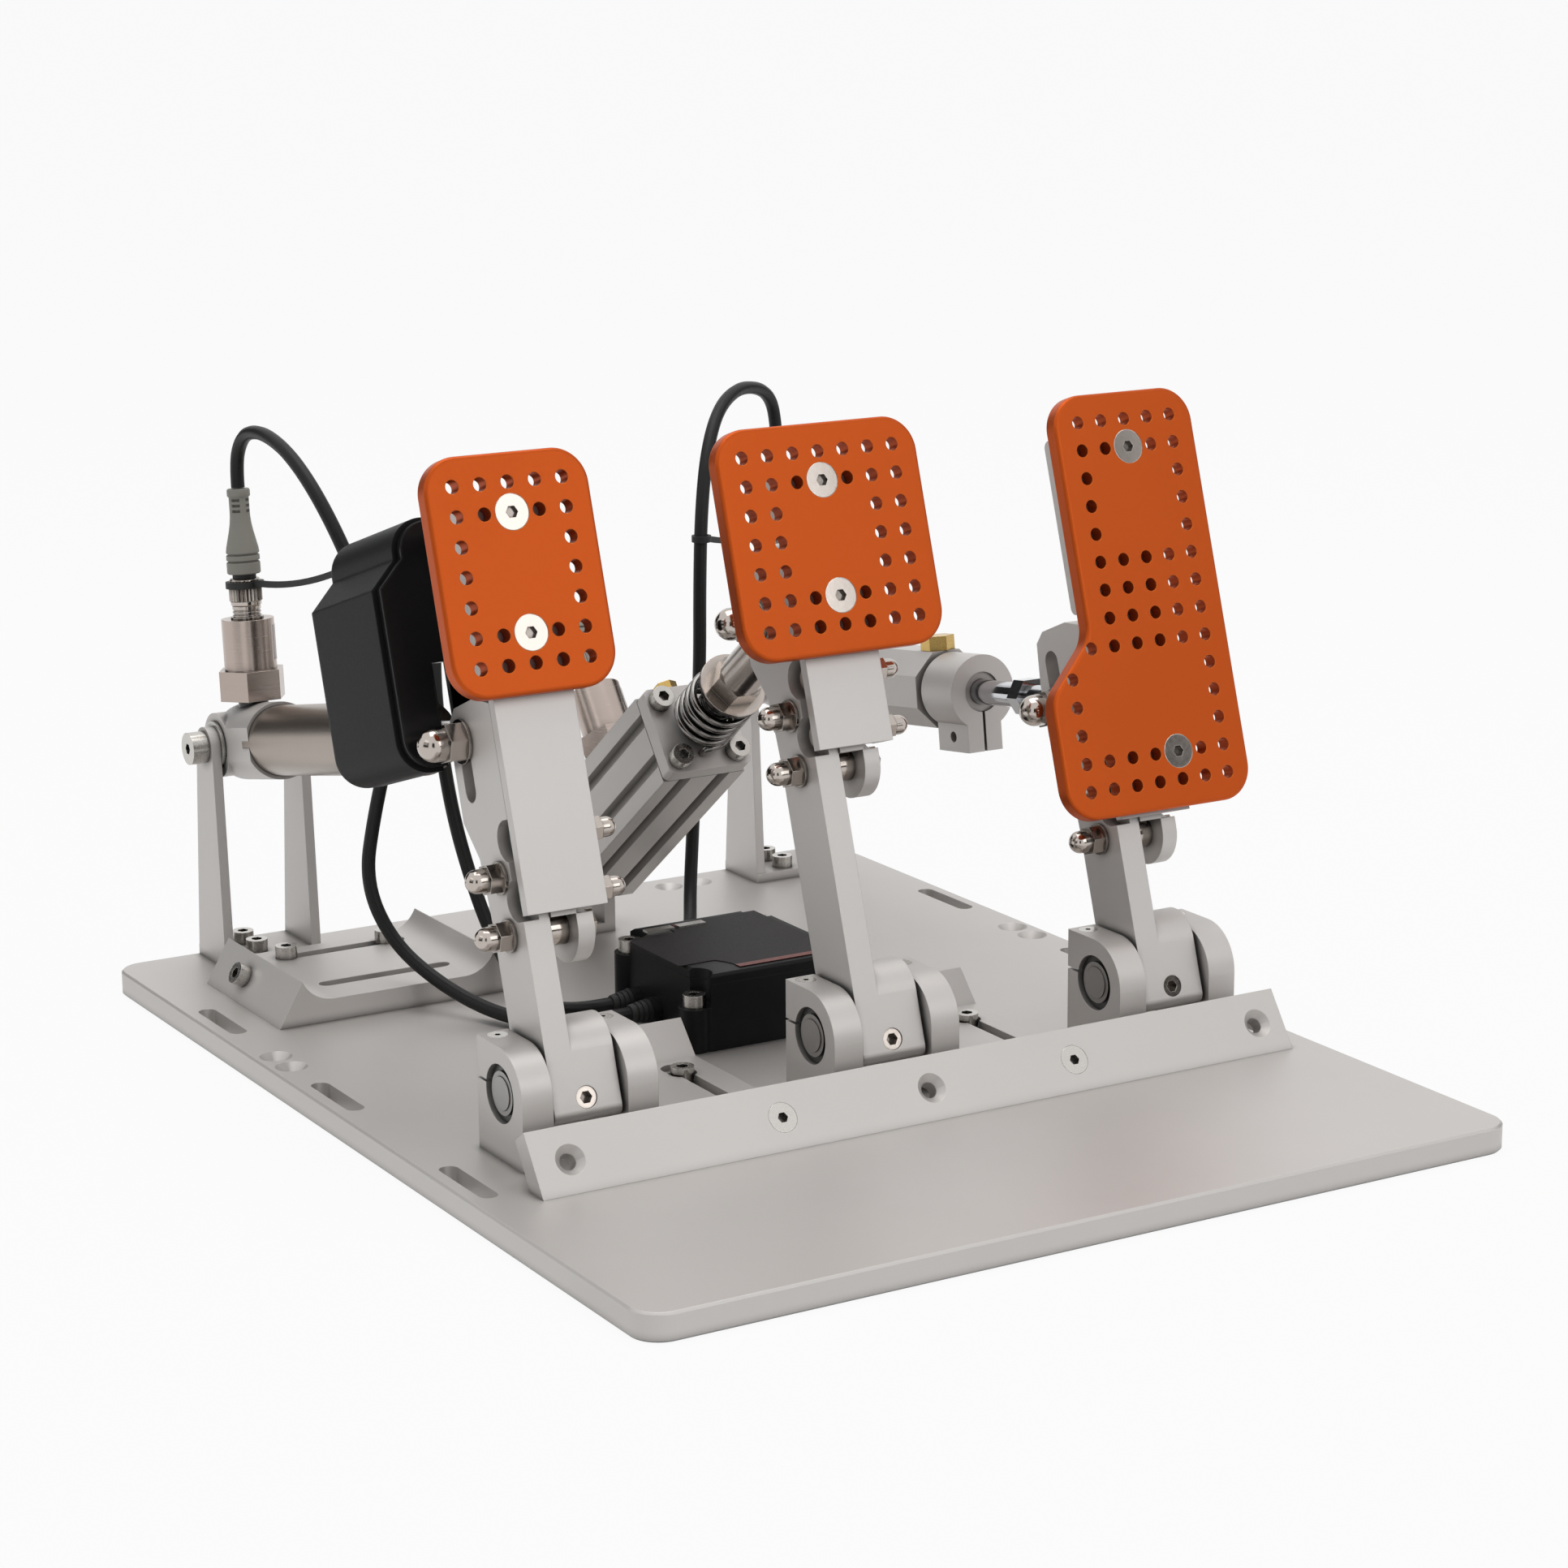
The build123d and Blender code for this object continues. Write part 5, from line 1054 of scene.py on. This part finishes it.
def flat_mesh(name, outline, thick):
    """A thin flat plate with this outline, sunk a little into what it lies on."""
    build = bmesh.new()
    low = [build.verts.new((x, y, -LABEL_SUNK)) for x, y in outline]
    high = [build.verts.new((x, y, thick)) for x, y in outline]
    build.faces.new(low[::-1])
    build.faces.new(high)
    bridge(build, low, high)
    return finished_mesh(build, name)


class PEDALS_OT_box(bpy.types.Operator):
    """Finish the control box and make its bare label, bands and grommets"""
    bl_idname = "pedals.box"
    bl_label = "Control box"

    def execute(self, context):
        made = finishes()
        middle = Matrix.Translation(LID_MIDDLE)
        for name, outline, thick, look in (
                ("lid_label", LID_LABEL, PLAQUE_THICK, "plaque"),
                ("lid_front_band", FRONT_BAND, BAND_THICK, "band"),
                ("lid_rear_band", REAR_BAND, BAND_THICK, "band")):
            place_piece(name, flat_mesh(name, outline, thick), middle, "base", "black_plastic",
                        made[look])
        for name, (mouth, way) in GROMMETS.items():
            sleeve = turned_mesh("grommet", GROMMET_PROFILE)
            turn = Vector((0, 0, 1)).rotation_difference(Vector(way)).to_matrix().to_4x4()
            place_piece(name + "_grommet", sleeve, Matrix.Translation(mouth) @ turn, "base",
                        "cable_black", made["seal"])
        dress("box", "control_box", "control_box_lid")
        dress("sockets", "control_box_connectors")
        return {"FINISHED"}


class PEDALS_PT_panel(bpy.types.Panel):
    """Sidebar panel that lists the pieces, their colours and sizes"""
    bl_idname = "PEDALS_PT_panel"
    bl_label = "Racing pedals"
    bl_space_type = "VIEW_3D"
    bl_region_type = "UI"
    bl_category = "Pedals"

    def draw(self, context):
        for group in (context.scene.pedal_colours, context.scene.pedal_sizes):
            column = self.layout.column(align=True)
            for key in group.__annotations__:
                column.prop(group, key)
        for operator in OPERATORS:
            self.layout.operator(operator.bl_idname)


OPERATORS = (PEDALS_OT_stage, PEDALS_OT_cables, PEDALS_OT_plate, PEDALS_OT_pedals,
             PEDALS_OT_cylinders, PEDALS_OT_boots, PEDALS_OT_ties, PEDALS_OT_box)
CLASSES = (PedalColours, PedalSizes, *OPERATORS, PEDALS_PT_panel)


def register():
    """Make the set's settings, operators and panel known to Blender."""
    for item in CLASSES:
        bpy.utils.register_class(item)
    bpy.types.Scene.pedal_colours = PointerProperty(type=PedalColours)
    bpy.types.Scene.pedal_sizes = PointerProperty(type=PedalSizes)


def unregister():
    """Take them away again."""
    del bpy.types.Scene.pedal_sizes
    del bpy.types.Scene.pedal_colours
    for item in reversed(CLASSES):
        bpy.utils.unregister_class(item)


def main():
    """Build the scene."""
    register()
    bpy.ops.pedals.stage()
    bpy.ops.pedals.cables()
    bpy.ops.pedals.plate()
    bpy.ops.pedals.pedals()
    bpy.ops.pedals.cylinders()
    bpy.ops.pedals.boots()
    bpy.ops.pedals.ties()
    bpy.ops.pedals.box()


if __name__ == "__main__":
    main()
